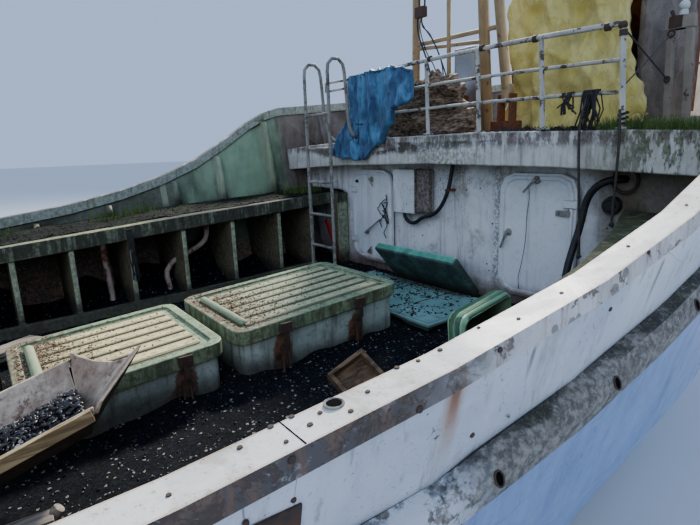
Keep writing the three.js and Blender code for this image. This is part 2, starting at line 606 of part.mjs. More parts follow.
const LADDER = { x: 2740, y0: 820, y1: 1180, top: 2725, hoop: 85, radius: 15 };
const ladderHoop = Array.from({ length: 7 }, (_, i) => {
  const turn = Math.PI * (1 - i / 6);
  return [LADDER.x + LADDER.hoop * (1 + Math.cos(turn)), LADDER.top - LADDER.hoop * (1 - Math.sin(turn))];
});
const ladder = onForedeck(aboveDeck(join([
  ...[LADDER.y0, LADDER.y1].map((y) => hose([
    [LADDER.x, y, 750], [LADDER.x, y, 1600], [LADDER.x, y, LADDER.top - LADDER.hoop - 60],
    ...ladderHoop.map(([x, z]) => [x, y, z]),
    [LADDER.x + 190, y, 2400], [LADDER.x + 208, y, 2190], [LADDER.x + 235, y, 2120],
    [LIP_X + 20, y, LIP_TOP - 40],
  ], LADDER.radius, 44)),
  ...[0, 1, 2, 3, 4].map((i) => rod([LADDER.x, LADDER.y0, 1120 + i * 290],
    [LADDER.x, LADDER.y1, 1120 + i * 290], 12, 8)),
])));

const RAIL = { x: 3120, ys: [-1380, -900, -420, 60, 550, 1030], bars: [542, 360, 195], radius: 15 };
const RAIL_LEAN = [44, 42, 30, 22, 8, 0]; // how far each post's foot stands out to starboard
const railFoot = (y) => LIP_TOP + camber(y) + GAP;
const RAIL_END = { y: 1400, drop: 70 };
const rail = onForedeck(join([
  pipe([[RAIL.x, 1030, railFoot(1030) + RAIL.bars[0]], [RAIL.x, RAIL_END.y, railFoot(1030) + RAIL.bars[0] + 5],
    [RAIL.x, RAIL_END.y, railFoot(1030) + RAIL.bars[0] - RAIL_END.drop],
    [RAIL.x, 1030, railFoot(1030) + RAIL.bars[0] - RAIL_END.drop]], 12),
  ...RAIL.ys.map((y, i) => rod([RAIL.x, y - RAIL_LEAN[i], railFoot(y) - 40], [RAIL.x, y, railFoot(y) + RAIL.bars[0]],
    RAIL.radius, 8)),
  ...RAIL.ys.map((y, i) => rod([RAIL.x, y - RAIL_LEAN[i], railFoot(y) - 20],
    [RAIL.x, y - RAIL_LEAN[i], railFoot(y) + 10], 38, 10)),
  ...RAIL.bars.map((up, i) => hose(RAIL.ys.map((y) => [RAIL.x, y, railFoot(y) + up]),
    i ? 11 : RAIL.radius, 6)),
]));

// Gantry, boom and the gear behind the rail

const GANTRY = { x: 3900, leg: 980, top: 4300, radius: 38 };
const gantry = onForedeck(join([
  rod([GANTRY.x, GANTRY.leg, 1900], [GANTRY.x, GANTRY.leg - 40, GANTRY.top], GANTRY.radius, 10),
  rod([GANTRY.x, 75, 1900], [GANTRY.x, 330, 5350], 48, 10, 40),
  rod([GANTRY.x, 530, 1900], [GANTRY.x, 565, 4260], 19, 8),
  rod([GANTRY.x, 975, 2938], [GANTRY.x, 20, 2920], 20, 8),
  rod([GANTRY.x, 975, 2902], [GANTRY.x, 120, 2832], 17, 8),
  rod([GANTRY.x, 960, 3500], [GANTRY.x, 195, 3500], 24, 8),
  rod([GANTRY.x, 950, 4260], [GANTRY.x, 245, 4260], 34, 8),
  box(GANTRY.x - 60, GANTRY.x + 60, 690, 770, 4130, 4240),
]));

const BOOM = { x: 3760, y: -205, z: 2330, length: 2600, lean: 380, radius: 42 };
const boomBracket = onForedeck(join([
  box(BOOM.x - 90, BOOM.x + 80, BOOM.y - 90, BOOM.y + 90, 1900, 2160),
  box(BOOM.x - 45, BOOM.x + 45, BOOM.y - 62, BOOM.y - 46, 2150, BOOM.z + 40),
  box(BOOM.x - 45, BOOM.x + 45, BOOM.y + 46, BOOM.y + 62, 2150, BOOM.z + 40),
]));
const boom = join([
  rod([BOOM.x, BOOM.y + 8, BOOM.z + 80], [BOOM.x, BOOM.y + BOOM.lean, BOOM.z + BOOM.length], BOOM.radius, 10, 36),
  box(BOOM.x - 30, BOOM.x + 30, BOOM.y - 38, BOOM.y + 38, BOOM.z - 30, BOOM.z + 110),
  rod([BOOM.x, BOOM.y - 38, BOOM.z], [BOOM.x, BOOM.y + 38, BOOM.z], 32, 12),
]);

const hauler = onForedeck(join([
  box(4080, 5250, -960, -60, 1950, 2230),
  box(4100, 4180, -900, -100, 2200, 2900),
  box(4660, 5250, -1000, -100, 2200, 3120),
  rod([4120, -500, 2700], [4700, -500, 2700], 330, 16),
]));
const bitts = onForedeck(join([
  box(4230, 4420, -1420, -1082, 1900, 2125),
  ...[-1147, -1268].map((y) => loft([[2100, y - 18], [2800, y + 18]].map(([z, middle]) => [
    [4295, middle - 23, z], [4345, middle - 23, z], [4345, middle + 23, z], [4295, middle + 23, z]]))),
  box(4290, 4350, -1280, -1100, 2715, 2800),
]));
const capstan = onForedeck(join([
  box(3560, 3800, 180, 640, 1900, 2150),
  rod([3680, 240, 2330], [3680, 600, 2330], 130, 14),
  rod([3680, 200, 2330], [3680, 640, 2330], 45, 10),
  box(3600, 3760, 180, 215, 2140, 2400),
  box(3600, 3760, 620, 655, 2140, 2400),
]));

// Tarpaulins, plain covers of the right size

const sheetRing = (points, x) => points.map(([y, z]) => [x, y, z]);
const HAULER_COVER = [ // x, how far it is drawn in
  { x: 3985, pinch: 20 }, { x: 4010, pinch: 0 }, { x: 4070, pinch: 0 }, { x: 4095, pinch: 15 },
];
const haulerTarp = (() => {
  const skin = (inset) => loft(HAULER_COVER.map(({ x, pinch }, i) => {
    const by = inset + pinch;
    return sheetRing([[-1130 + by, 1900], [-1180 + by, 2190], [-1030 + by, 2440], [-980 + by, 2800],
      [-960 + by, 3300 - by], [-820, 3440 - by], [-180, 3430 - by], [-20 - by, 3280 - by],
      [5 - by, 2700], [-30 - by, 1900]], x + (inset && i === 0 ? 25 : 0));
  }));
  return onForedeck(skin(0).subtract(skin(25).translate([15, 0, 0])));
})();
const sideTarp = onForedeck(plate('x', 4115, 5030, [
  [-1074, 1900], [-1068, 2500], [-1045, 3060], [-1000, 3180], [-320, 3190], [-320, 3128],
  [-1004, 3124], [-1010, 2500], [-1014, 1900]].reverse()));
const RAIL_COVER = [ // y, z of the cloth's outline where it hangs aft of the rail
  [100, 2555], [95, 2330], [330, 2300], [345, 2215], [480, 2040], [700, 1880], [1160, 1915],
  [1220, 1960], [985, 2160], [860, 2390], [900, 2440], [930, 2590], [650, 2600], [330, 2600],
];
const blueTarp = clearOf(plate('x', 2995, 3040, RAIL_COVER.reverse()), ladder);
const NET_HEAP = [ // middle and half sizes of its mounds
  { y: 230, z: 2070, size: [165, 430, 505] },
  { y: 620, z: 2050, size: [150, 300, 330] },
];
const netHeap = onForedeck(join(NET_HEAP.map(({ y, z, size }) => {
  const geometry = new THREE.SphereGeometry(1, 12, 8);
  geometry.scale(...size);
  geometry.translate(3375, y, z);
  return toSolid(geometry);
})));
const gearBox = onForedeck(box(4160, 4400, 470, 710, 1900, 2880));

// Fittings on the bulkhead

const junctionBox = join([
  box(BULKHEAD_X - 95, BULKHEAD_X - 1, 285, 550, 1425, 1800),
  box(BULKHEAD_X - 60, BULKHEAD_X - 1, 150, 286, 1440, 1795),
]);
// Wheelhouse

const HOUSE = { x0: -5300, x1: -2700, half: 1050, wall: 50, eaves: 2780 };
const houseFloor = Math.max(deckZ(HOUSE.x0), deckZ(HOUSE.x1)) + 4;
const SIDE_WINDOWS = [[-4900, -4250], [-3950, -3050]]; // from x, to x
const FRONT_WINDOWS = [[-930, -370], [-280, 280], [370, 930]]; // from y, to y
const WINDOW = { low: 1900, high: 2480 };
const HOUSE_DOOR = { y0: 150, y1: 800, low: 800, high: 2560 };
const wheelhouse = (() => {
  const shell = box(HOUSE.x0, HOUSE.x1, -HOUSE.half, HOUSE.half, houseFloor, HOUSE.eaves)
    .subtract(box(HOUSE.x0 + HOUSE.wall, HOUSE.x1 - HOUSE.wall, -HOUSE.half + HOUSE.wall,
      HOUSE.half - HOUSE.wall, 0, 4000));
  const sides = SIDE_WINDOWS.map(([a, b]) => box(a, b, -2000, 2000, WINDOW.low, WINDOW.high));
  const fronts = FRONT_WINDOWS.map(([a, b]) =>
    box(HOUSE.x1 - 200, HOUSE.x1 + 200, a, b, WINDOW.low, WINDOW.high));
  const aft = box(HOUSE.x0 - 200, HOUSE.x0 + 200, -800, -150, WINDOW.low, WINDOW.high);
  const door = box(HOUSE.x0 - 200, HOUSE.x0 + 200, HOUSE_DOOR.y0, HOUSE_DOOR.y1, HOUSE_DOOR.low,
    HOUSE_DOOR.high);
  return cut(shell, [...sides, ...fronts, aft, door]);
})();
const roof = join([
  loft([HOUSE.x0 - 250, HOUSE.x1 + 320].map((x) => [
    [x, HOUSE.half + 90, HOUSE.eaves + GAP], [x, HOUSE.half + 90, HOUSE.eaves + 60],
    [x, 0, HOUSE.eaves + 110], [x, -HOUSE.half - 90, HOUSE.eaves + 60],
    [x, -HOUSE.half - 90, HOUSE.eaves + GAP]])),
]);
const pane = 8;
const glassFront = box(HOUSE.x1 - HOUSE.wall - 1 - pane, HOUSE.x1 - HOUSE.wall - 1, -960, 960,
  WINDOW.low - 30, WINDOW.high + 30);
const glassSide = (side) => {
  const inner = HOUSE.half - HOUSE.wall - 1;
  const [a, b] = [side * inner, side * (inner - pane)];
  return box(-4930, -3020, Math.min(a, b), Math.max(a, b), WINDOW.low - 30, WINDOW.high + 30);
};
const glassAft = box(HOUSE.x0 + HOUSE.wall + 1, HOUSE.x0 + HOUSE.wall + 1 + pane, -830, -120,
  WINDOW.low - 30, WINDOW.high + 30);
const DOOR_LEAF = { x: HOUSE.x0 - 8, thick: 36 };
const houseDoor = box(DOOR_LEAF.x - DOOR_LEAF.thick, DOOR_LEAF.x, HOUSE_DOOR.y0 - 25, HOUSE_DOOR.y1 + 25,
  HOUSE_DOOR.low - 20, HOUSE_DOOR.high + 25)
  .subtract(box(DOOR_LEAF.x - 100, DOOR_LEAF.x + 10, HOUSE_DOOR.y0 + 110, HOUSE_DOOR.y1 - 110, 1950, 2420));
const SOLE = houseFloor + 30;
const sole = box(HOUSE.x0 + HOUSE.wall + 2, HOUSE.x1 - HOUSE.wall - 2, -HOUSE.half + HOUSE.wall + 2,
  HOUSE.half - HOUSE.wall - 2, houseFloor, SOLE);
const helm = join([
  box(-3300, -2780, -700, 300, SOLE + GAP, 1650),
  rod([-3300, -200, 1450], [-3360, -200, 1470], 25, 10),
  rod([-3360, -200, 1470], [-3390, -200, 1480], 230, 20),
]);
const engine = join([
  box(ENGINE.x0, ENGINE.x1, -ENGINE.half, ENGINE.half, ENGINE.bottom + GAP, ENGINE.top - 150),
  box(ENGINE.x0 + 150, ENGINE.x1 - 150, -250, 250, 0, ENGINE.top),
]);
const exhaust = join([
  rod([-4950, 700, HOUSE.eaves + 112], [-4950, 700, 3600], 90, 14),
  rod([-4950, 700, 3580], [-5080, 700, 3720], 70, 12),
]);
const roofMast = join([
  rod([-4200, 0, HOUSE.eaves + 112], [-4200, 0, 4500], 40, 12, 30),
  rod([-4200, -500, 3900], [-4200, 500, 3900], 20, 8),
  rod([-4200, 0, 3440], [-4200, 0, 3520], 260, 18),
  rod([-4200, 0, 4480], [-4200, 0, 4600], 50, 12),
  box(-4260, -4140, -60, 60, HOUSE.eaves + 111, HOUSE.eaves + 130),
]);

// Trawl winch before the wheelhouse

const WINCH = { x: -1900, z: 1250 };
const winchFrame = join([
  box(WINCH.x - 350, WINCH.x + 350, -1000, 1000, deckZ(WINCH.x) + 10, deckZ(WINCH.x) + 70),
  ...[-960, -60, 840].map((y) => plate('y', y, y + 120, [
    [WINCH.x - 300, deckZ(WINCH.x) + 60], [WINCH.x + 300, deckZ(WINCH.x) + 60],
    [WINCH.x + 110, WINCH.z + 110], [WINCH.x - 110, WINCH.z + 110]])),
]).subtract(rod([WINCH.x, -1300, WINCH.z], [WINCH.x, 1300, WINCH.z], 48, 18));
const drumProfile = [ // y, radius
  [-1240, 0], [-1240, 110], [-1220, 130], [-1200, 95], [-1120, 80], [-1010, 100], [-985, 100],
  [-985, 42], [-825, 42], [-825, 300], [-800, 300], [-800, 130], [-110, 130], [-110, 300],
  [-85, 300], [-85, 42], [85, 42], [85, 300], [110, 300], [110, 130], [800, 130], [800, 300],
  [825, 300], [825, 42], [985, 42], [985, 100], [1010, 100], [1120, 80], [1200, 95], [1220, 130],
  [1240, 110], [1240, 0],
];
const winchDrum = (() => {
  const points = drumProfile.map(([y, radius]) => new THREE.Vector2(radius, y));
  const geometry = new THREE.LatheGeometry(points, 20);
  geometry.translate(WINCH.x, 0, WINCH.z);
  return toSolid(geometry);
})();

// Stern gantry, propeller and rudder

const STERN_GANTRY = { x: -7050, half: 1620, top: 3300 };
const sternGantry = aboveDeck(join([
  ...[1, -1].map((side) => rod([STERN_GANTRY.x, side * STERN_GANTRY.half, 500],
    [STERN_GANTRY.x, side * 1400, STERN_GANTRY.top], 60, 12)),
  ...[1, -1].map((side) => rod([-6100, side * STERN_GANTRY.half, 500],
    [STERN_GANTRY.x, side * 1450, STERN_GANTRY.top - 400], 45, 10)),
  rod([STERN_GANTRY.x, -1440, STERN_GANTRY.top], [STERN_GANTRY.x, 1440, STERN_GANTRY.top], 60, 12),
  ...[-1, 1].map((side) => rod([STERN_GANTRY.x, side * 900 - 40, STERN_GANTRY.top - 230],
    [STERN_GANTRY.x, side * 900 + 40, STERN_GANTRY.top - 230], 130, 16)),
  ...[-1, 1].map((side) => box(STERN_GANTRY.x - 25, STERN_GANTRY.x + 25, side * 900 - 20,
    side * 900 + 20, STERN_GANTRY.top - 250, STERN_GANTRY.top)),
]));

const propeller = (() => {
  const hub = rod([PROP_X - 90, 0, PROP_Z], [PROP_X + 90, 0, PROP_Z], 75, 16, 60);
  const shaft = rod([PROP_X, 0, PROP_Z], [PROP_X + 540, 0, PROP_Z], 35, 14);
  const blades = [0, 1, 2, 3].map((i) => {
    const outline = new THREE.Shape();
    outline.moveTo(-45, 40);
    outline.bezierCurveTo(-190, 140, -160, 310, -40, 370);
    outline.bezierCurveTo(110, 350, 130, 170, 45, 40);
    const geometry = new THREE.ExtrudeGeometry(outline, { depth: 14, bevelEnabled: false, curveSegments: 6 });
    geometry.translate(0, 0, -7);
    geometry.rotateY(0.6);
    const stand = new THREE.Matrix4().set(0, 0, 1, 0, 1, 0, 0, 0, 0, 1, 0, 0, 0, 0, 0, 1);
    geometry.applyMatrix4(stand);
    geometry.rotateX(i * Math.PI / 2);
    geometry.translate(PROP_X, 0, PROP_Z);
    return toSolid(geometry);
  });
  return join([hub, shaft, ...blades]);
})();

const rudder = join([
  plate('y', -32, 32, [[-7120, -930], [-6640, -930], [-6620, -300], [-7060, -260]]),
  rod([RUDDER_X, 0, -940], [RUDDER_X, 0, 560], 32, 14),
]);

const ANCHOR_X = 5300;
const anchor = join([
  rod([ANCHOR_X, 520, 2240], [ANCHOR_X + 700, 330, 2260], 24, 8),
  rod([ANCHOR_X + 20, 330, 2240], [ANCHOR_X + 20, 700, 2240], 22, 8),
  box(ANCHOR_X - 20, ANCHOR_X + 220, 620, 720, 2225, 2255),
  box(ANCHOR_X - 20, ANCHOR_X + 220, 320, 420, 2225, 2255),
]);

// Hoses and lines that hang free

const DECK_HOSE = [
  [3288, -1385, 1758], [3250, -1384, 1760], [3218, -1362, 1760], [3199, -1322, 1750],
  [3192, -1276, 1724], [3191, -1236, 1680], [3190, -1210, 1620], [3184, -1199, 1545],
  [3160, -1194, 1455], [3116, -1192, 1360], [3070, -1192, 1262], [3036, -1196, 1165],
  [3017, -1206, 1070], [3011, -1222, 985], [3012, -1230, 920], [VENT.x, VENT.y, deckZ(VENT.x) + VENT.collar + 1],
];
const CABLE = [
  [3258, -102, 2008.5], [3257, -101, 1940], [3252, -98, 1850], [3245, -88, 1760], [3240, -72, 1670],
  [3238, -42, 1590], [3238, 2, 1516], [3240, 62, 1456], [3242, 128, 1423], [3245, 190, 1408],
  [3248, 246, 1388], [3250, 292, 1358], [3250, 340, 1340], [3250, 392, 1346], [3250, 430, 1368],
  [3250, 447, 1397], [3250, 449, 1423],
];

const HANG_LINES = [
  { name: '1', points: [[3112, -1215, 2230], [3092, -1215, 2186], [3064, -1215, 2128],
    [3046, -1218, 2055], [3043, -1226, 1900], [3044, -1240, 1700], [3045, -1255, 1500],
    [3046, -1268, 1320]] },
  { name: '2', points: [[3096, -1411, 2140], [3080, -1420, 2112], [3062, -1432, 2076],
    [3046, -1442, 2020], [3043, -1446, 1950], [3043, -1446, 1820], [3044, -1443, 1670],
    [3046, -1440, 1525]] },
];
function hangLine({ points }) {
  const knot = new THREE.SphereGeometry(15, 8, 6);
  knot.translate(...points[points.length - 1]);
  return join([hose(points, 7, 24, 6), toSolid(knot)]);
}

const pieces = [
  ['hull', hull, paint('hull gelcoat', 0xb9c7d2, 0.45)],
  ['bulwark', bulwark, paint('bulwark paint', 0xc9ccc0)],
  ['gunwale_cap', gunwaleCap, paint('cap paint', 0xd8d2c4)],
  ['rub_strake', rubStrake, paint('strake rubber', 0x77766c, 0.9)],
  ['side_shelf', shelf, paint('shelf', 0x8d9684)],
  ['starboard_ledge', ledge, paint('ledge', 0x9a9b90)],
  ...BAY_PIPES.map((line) => [`bay_pipe_${line.name}`, bayPipe(line), paint(`bay pipe ${line.name}`, 0xb08a84)]),
  ['forecastle_bulkhead', bulkhead, paint('bulkhead paint', 0xd5d6d2)],
  ['forecastle_deck', foredeck, paint('forecastle deck', 0xcfccc0)],
  ...DOORS.map((door) => [`forecastle_door_${door.name}`, watertightDoor(door),
    paint(`door ${door.name}`, 0xd4dbe0, 0.6)]),
  ...HATCHES.map((hatch) => [`hatch_coaming_${hatch.name}`, coaming(hatch),
    paint(`coaming ${hatch.name}`, 0x8fa99a)]),
  ...HATCHES.map((hatch) => [`hatch_lid_${hatch.name}`, hatchLid(hatch),
    paint(`lid ${hatch.name}`, 0xa6b795)]),
  ['low_hatch', lowHatch, paint('low hatch', 0x7f9a86)],
  ['loose_lid', looseLid, paint('loose lid', 0x3f9a80)],
  ['green_block', greenBlock, paint('green block', 0x5f9a72)],
  ['wooden_tray', tray, paint('tray wood', 0x8a6a4a)],
  ['sorting_chute', chute, paint('chute', 0xd9d2bd)],
  ['ladder', ladder, paint('ladder pipe', 0x9a958a, 0.6, 0.4)],
  ['forecastle_rail', rail, paint('rail pipe', 0xd8d4cb, 0.6)],
  ['gantry', gantry, paint('gantry', 0xb09a74, 0.7)],
  ['boom_bracket', boomBracket, paint('boom bracket', 0x6a5a48)],
  ['boom', boom, paint('boom', 0xb57a40, 0.7)],
  ['net_hauler', hauler, paint('hauler', 0x57524c, 0.7, 0.4)],
  ['twin_bitts', bitts, paint('bitts', 0xa9a69c, 0.6)],
  ['capstan', capstan, paint('capstan', 0x6b4a36, 0.8, 0.3)],
  ['hauler_tarp', haulerTarp, paint('yellow tarp', 0xd9c545)],
  ['side_tarp', sideTarp, paint('side tarp', 0x6b5d50)],
  ['rail_tarp', blueTarp, paint('blue tarp', 0x2f6fa8)],
  ['net_heap', netHeap, paint('net heap', 0x3a2d26)],
  ['gear_box', gearBox, paint('gear box', 0xb4b8ba)],
  ['junction_box', junctionBox, paint('junction box', 0xd9dad7, 0.5)],
  ['deck_hose', hose(DECK_HOSE, 22, 48), paint('hose rubber', 0x1b1b1b)],
  ['deck_cable', hose(CABLE, 16, 56), paint('cable rubber', 0x1b1b1c)],
  ...HANG_LINES.map((line) => [`hang_line_${line.name}`, hangLine(line), paint(`line ${line.name}`, 0x34322f)]),
  ['wheelhouse', wheelhouse, paint('house paint', 0xdfe0db, 0.6)],
  ['wheelhouse_roof', roof, paint('roof paint', 0xdadbd6, 0.6)],
  ['wheelhouse_door', houseDoor, paint('house door', 0xd3d6d5, 0.6)],
  ['glass_front', glassFront, paint('glass', 0x9fb4ba, 0.1)],
  ['glass_port', glassSide(1), paint('glass p', 0x9fb4ba, 0.1)],
  ['glass_starboard', glassSide(-1), paint('glass s', 0x9fb4ba, 0.1)],
  ['glass_aft', glassAft, paint('glass a', 0x9fb4ba, 0.1)],
  ['wheelhouse_sole', sole, paint('sole boards', 0x8a7a60)],
  ['helm_console', helm, paint('helm', 0xb9b4a4)],
  ['engine', engine, paint('engine', 0x5a6a5f, 0.6, 0.3)],
  ['exhaust', exhaust, paint('exhaust', 0x4a4542, 0.6, 0.5)],
  ['roof_mast', roofMast, paint('roof mast', 0xdedcd5)],
  ['winch_frame', winchFrame, paint('winch frame', 0x4f7a6a, 0.7)],
  ['winch_drum', winchDrum, paint('winch drum', 0x7a6a58, 0.7, 0.4)],
  ['stern_gantry', sternGantry, paint('stern gantry', 0xc9b48a, 0.7)],
  ['propeller', propeller, paint('propeller', 0xa8884a, 0.4, 0.9)],
  ['rudder', rudder, paint('rudder', 0x7a3a30)],
  ['anchor', anchor, paint('anchor', 0x5b524b, 0.7, 0.6)],
];

const trawler = new THREE.Group();
for (const [name, solid, material] of pieces) {
  const mesh = new THREE.Mesh(toGeometry(solid), material);
  mesh.name = name;
  trawler.add(mesh);
}

export default trawler;
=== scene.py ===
"""A small old inshore trawler: finishes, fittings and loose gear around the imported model."""

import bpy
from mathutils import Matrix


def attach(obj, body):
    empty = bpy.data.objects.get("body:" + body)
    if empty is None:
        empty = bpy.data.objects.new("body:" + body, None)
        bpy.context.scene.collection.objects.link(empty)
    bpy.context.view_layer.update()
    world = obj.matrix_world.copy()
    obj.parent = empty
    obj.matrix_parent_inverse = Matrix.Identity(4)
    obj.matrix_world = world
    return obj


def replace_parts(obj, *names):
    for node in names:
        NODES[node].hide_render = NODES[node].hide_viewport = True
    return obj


bl_info = {
    "name": "Inshore Trawler",
    "version": (1, 0, 0),
    "blender": (4, 5, 0),
    "location": "View3D > Sidebar > Trawler",
    "description": "Dresses the packed trawler with worn finishes, fittings, covers and litter",
    "category": "Add Mesh",
}

import math
import random

import bmesh
import bpy
from mathutils import Matrix, Vector, noise
from mathutils.bvhtree import BVHTree

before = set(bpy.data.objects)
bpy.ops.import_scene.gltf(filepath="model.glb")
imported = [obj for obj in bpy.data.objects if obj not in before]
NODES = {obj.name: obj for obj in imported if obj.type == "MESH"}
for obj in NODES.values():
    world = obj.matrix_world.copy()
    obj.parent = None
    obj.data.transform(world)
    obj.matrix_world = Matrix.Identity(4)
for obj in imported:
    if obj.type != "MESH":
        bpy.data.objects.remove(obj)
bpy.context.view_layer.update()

# Camera, solved from the boat's own edges

CAMERA_AT = (0.2373, -2.7760, 1.9822)
CAMERA_YAW = 36.601  # from +Y towards +X
CAMERA_PITCH = 12.778  # down
CAMERA_ROLL = 1.913
CAMERA_LENS = 25.73


# Finishes

FINISHES = {}


def shade(red, green, blue):
    """A colour as seen on screen, 0 to 255, made linear."""
    def linear(value):
        value /= 255
        return value / 12.92 if value <= 0.04045 else ((value + 0.055) / 1.055) ** 2.4
    return (linear(red), linear(green), linear(blue), 1.0)


class Coat:
    """One material, built from patterns that lie in the boat's own space."""

    def __init__(self, name, roughness=0.7, metallic=0.0, **sockets):
        self.name = name
        self.material = bpy.data.materials.new(name)
        self.material.use_nodes = True
        self.tree = self.material.node_tree
        self.shader = self.tree.nodes["Principled BSDF"]
        self.set(self.shader.inputs["Roughness"], roughness)
        self.set(self.shader.inputs["Metallic"], metallic)
        for key, value in sockets.items():
            self.shader.inputs[key.replace("_", " ")].default_value = value
        self.place = self.add("ShaderNodeTexCoord").outputs["Object"]
        self.geometry = self.add("ShaderNodeNewGeometry")

    def add(self, kind, **settings):
        node = self.tree.nodes.new(kind)
        for key, value in settings.items():
            setattr(node, key, value)
        return node

    def set(self, socket, value):
        if isinstance(value, bpy.types.NodeSocket):
            self.tree.links.new(value, socket)
        elif hasattr(value, "__len__") and len(socket.default_value) == 4 and len(value) == 3:
            socket.default_value = (*value, 1.0)
        else:
            socket.default_value = value

    def moved(self, stretch, offset=(0, 0, 0)):
        if stretch == (1, 1, 1) and offset == (0, 0, 0):
            return self.place
        mapping = self.add("ShaderNodeMapping")
        self.set(mapping.inputs["Vector"], self.place)
        mapping.inputs["Scale"].default_value = stretch
        mapping.inputs["Location"].default_value = offset
        return mapping.outputs["Vector"]

    def noise(self, scale, detail=4.0, rough=0.55, stretch=(1, 1, 1), offset=(0, 0, 0), twist=0.0):
        node = self.add("ShaderNodeTexNoise")
        self.set(node.inputs["Vector"], self.moved(stretch, offset))
        node.inputs["Scale"].default_value = scale
        node.inputs["Detail"].default_value = detail
        node.inputs["Roughness"].default_value = rough
        node.inputs["Distortion"].default_value = twist
        return node.outputs["Fac"]

    def cells(self, scale, stretch=(1, 1, 1), out="Distance"):
        node = self.add("ShaderNodeTexVoronoi")
        self.set(node.inputs["Vector"], self.moved(stretch))
        node.inputs["Scale"].default_value = scale
        return node.outputs[out]

    def chances(self, scale):
        """Numbers from 0 to 1 that change from cell to cell."""
        split = self.add("ShaderNodeSeparateColor")
        self.set(split.inputs[0], self.cells(scale, out="Color"))
        return split.outputs

    def band(self, value, low, high, to_low=0.0, to_high=1.0):
        """Low to high of a pattern becomes 0 to 1, smoothly."""
        node = self.add("ShaderNodeMapRange", interpolation_type="SMOOTHSTEP")
        self.set(node.inputs["Value"], value)
        for key, number in (("From Min", low), ("From Max", high), ("To Min", to_low), ("To Max", to_high)):
            node.inputs[key].default_value = number
        return node.outputs["Result"]

    def maths(self, operation, first, second=0.0):
        node = self.add("ShaderNodeMath", operation=operation)
        self.set(node.inputs[0], first)
        self.set(node.inputs[1], second)
        return node.outputs[0]

    def times(self, first, second):
        return self.maths("MULTIPLY", first, second)

    def most(self, first, second):
        return self.maths("MAXIMUM", first, second)

    def plus(self, first, second):
        return self.maths("ADD", first, second)

    def minus(self, first, second):
        return self.maths("SUBTRACT", first, second)

    def apart(self, first, second):
        return self.maths("ABSOLUTE", self.minus(first, second))

    def mix(self, mask, first, second):
        node = self.add("ShaderNodeMix", data_type="RGBA")
        factor, a, b = node.inputs[0], node.inputs[6], node.inputs[7]
        self.set(factor, mask)
        self.set(a, first)
        self.set(b, second)
        return node.outputs[2]

    def tones(self, pattern, low, high, first, second):
        """One colour where a pattern is low, another where it is high."""
        return self.mix(self.band(pattern, low, high), first, second)

    def blend(self, mask, colour, tint, strength=1.0):
        return self.mix(self.times(mask, strength) if strength != 1.0 else mask, colour, tint)

    def layers(self, colour, *rows):
        """Tints over a colour, each with its strength, by a mask or by a pattern's low and high."""
        for *mask, tint, strength in rows:
            colour = self.blend(self.band(*mask) if len(mask) == 3 else mask[0], colour, tint, strength)
        return colour

    def parts(self, vector):
        """The three numbers of a vector."""
        split = self.add("ShaderNodeSeparateXYZ")
        self.set(split.inputs[0], vector)
        return split.outputs

    def axis(self, key):
        return self.parts(self.place)[key]

    def span(self, key, low, high):
        """0 to 1 along a stretch of an axis."""
        return self.band(self.axis(key), low, high)

    def normal(self, key, kind="Normal"):
        return self.parts(self.geometry.outputs[kind])[key]

    def facing(self, key, low, high, kind="Normal"):
        """How far a face looks along an axis."""
        return self.band(self.normal(key, kind), low, high)

    def near(self, point, inner, outer, stretch=(1, 1, 1)):
        """1 at a place, fading to 0 away from it."""
        node = self.add("ShaderNodeVectorMath", operation="DISTANCE")
        self.set(node.inputs[0], self.moved(stretch))
        node.inputs[1].default_value = tuple(a * b for a, b in zip(point, stretch))
        return self.band(node.outputs["Value"], outer, inner)

    def ragged(self, key, spread, scale=3.0):
        """An axis with a wandering edge."""
        wander = self.minus(self.noise(scale, 6, 0.68, offset=(9, 3, 6)), 0.5)
        return self.plus(self.axis(key), self.times(wander, spread))

    def weep(self, x, top, length, width):
        """A stain that runs down a side from a height, widest at its start."""
        wander = self.times(self.minus(self.noise(5, 4, 0.6, offset=(x, 2, 7)), 0.5), width * 1.4)
        across = self.band(self.apart(self.plus(self.axis(0), wander), x), width, width * 0.25)
        below = self.times(self.span(2, top + 0.01, top - 0.01),
                           self.span(2, top - length, top - length * 0.2))
        return self.times(across, below)

    def crevice(self, distance):
        """1 in corners, 0 in the open, from ambient occlusion; colour darkened by it is painted shade."""
        node = self.add("ShaderNodeAmbientOcclusion", samples=6)
        node.inputs["Distance"].default_value = distance
        return self.band(node.outputs["AO"], 0.85, 0.35)

    def worn_edge(self, radius):
        """1 along sharp edges."""
        soft = self.add("ShaderNodeBevel", samples=4)
        soft.inputs["Radius"].default_value = radius
        dot = self.add("ShaderNodeVectorMath", operation="DOT_PRODUCT")
        self.set(dot.inputs[0], soft.outputs["Normal"])
        self.set(dot.inputs[1], self.geometry.outputs["Normal"])
        return self.band(self.minus(1.0, dot.outputs["Value"]), 0.03, 0.25)

    def finish(self, colour, rough=None, height=None, depth=0.003, strength=0.6):
        """Gives the shader its colour, roughness and bumps, and keeps the material under its name."""
        self.set(self.shader.inputs["Base Color"], colour)
        if rough is not None:
            self.set(self.shader.inputs["Roughness"], rough)
        if height is not None:
            node = self.add("ShaderNodeBump")
            node.inputs["Strength"].default_value = strength
            node.inputs["Distance"].default_value = depth
            self.set(node.inputs["Height"], height)
            self.set(self.shader.inputs["Normal"], node.outputs["Normal"])
        FINISHES[self.name] = self.material


RUST_DARK = shade(72, 38, 22)
RUST = shade(132, 74, 38)
RUST_PALE = shade(176, 112, 62)
# Dirt colour; where ambient occlusion lays it in corners it is painted shade
GRIME_AND_SHADE = shade(70, 62, 50)
MOSS = shade(74, 76, 42)
MOSS_DARK_AND_SHADE = shade(44, 46, 30)


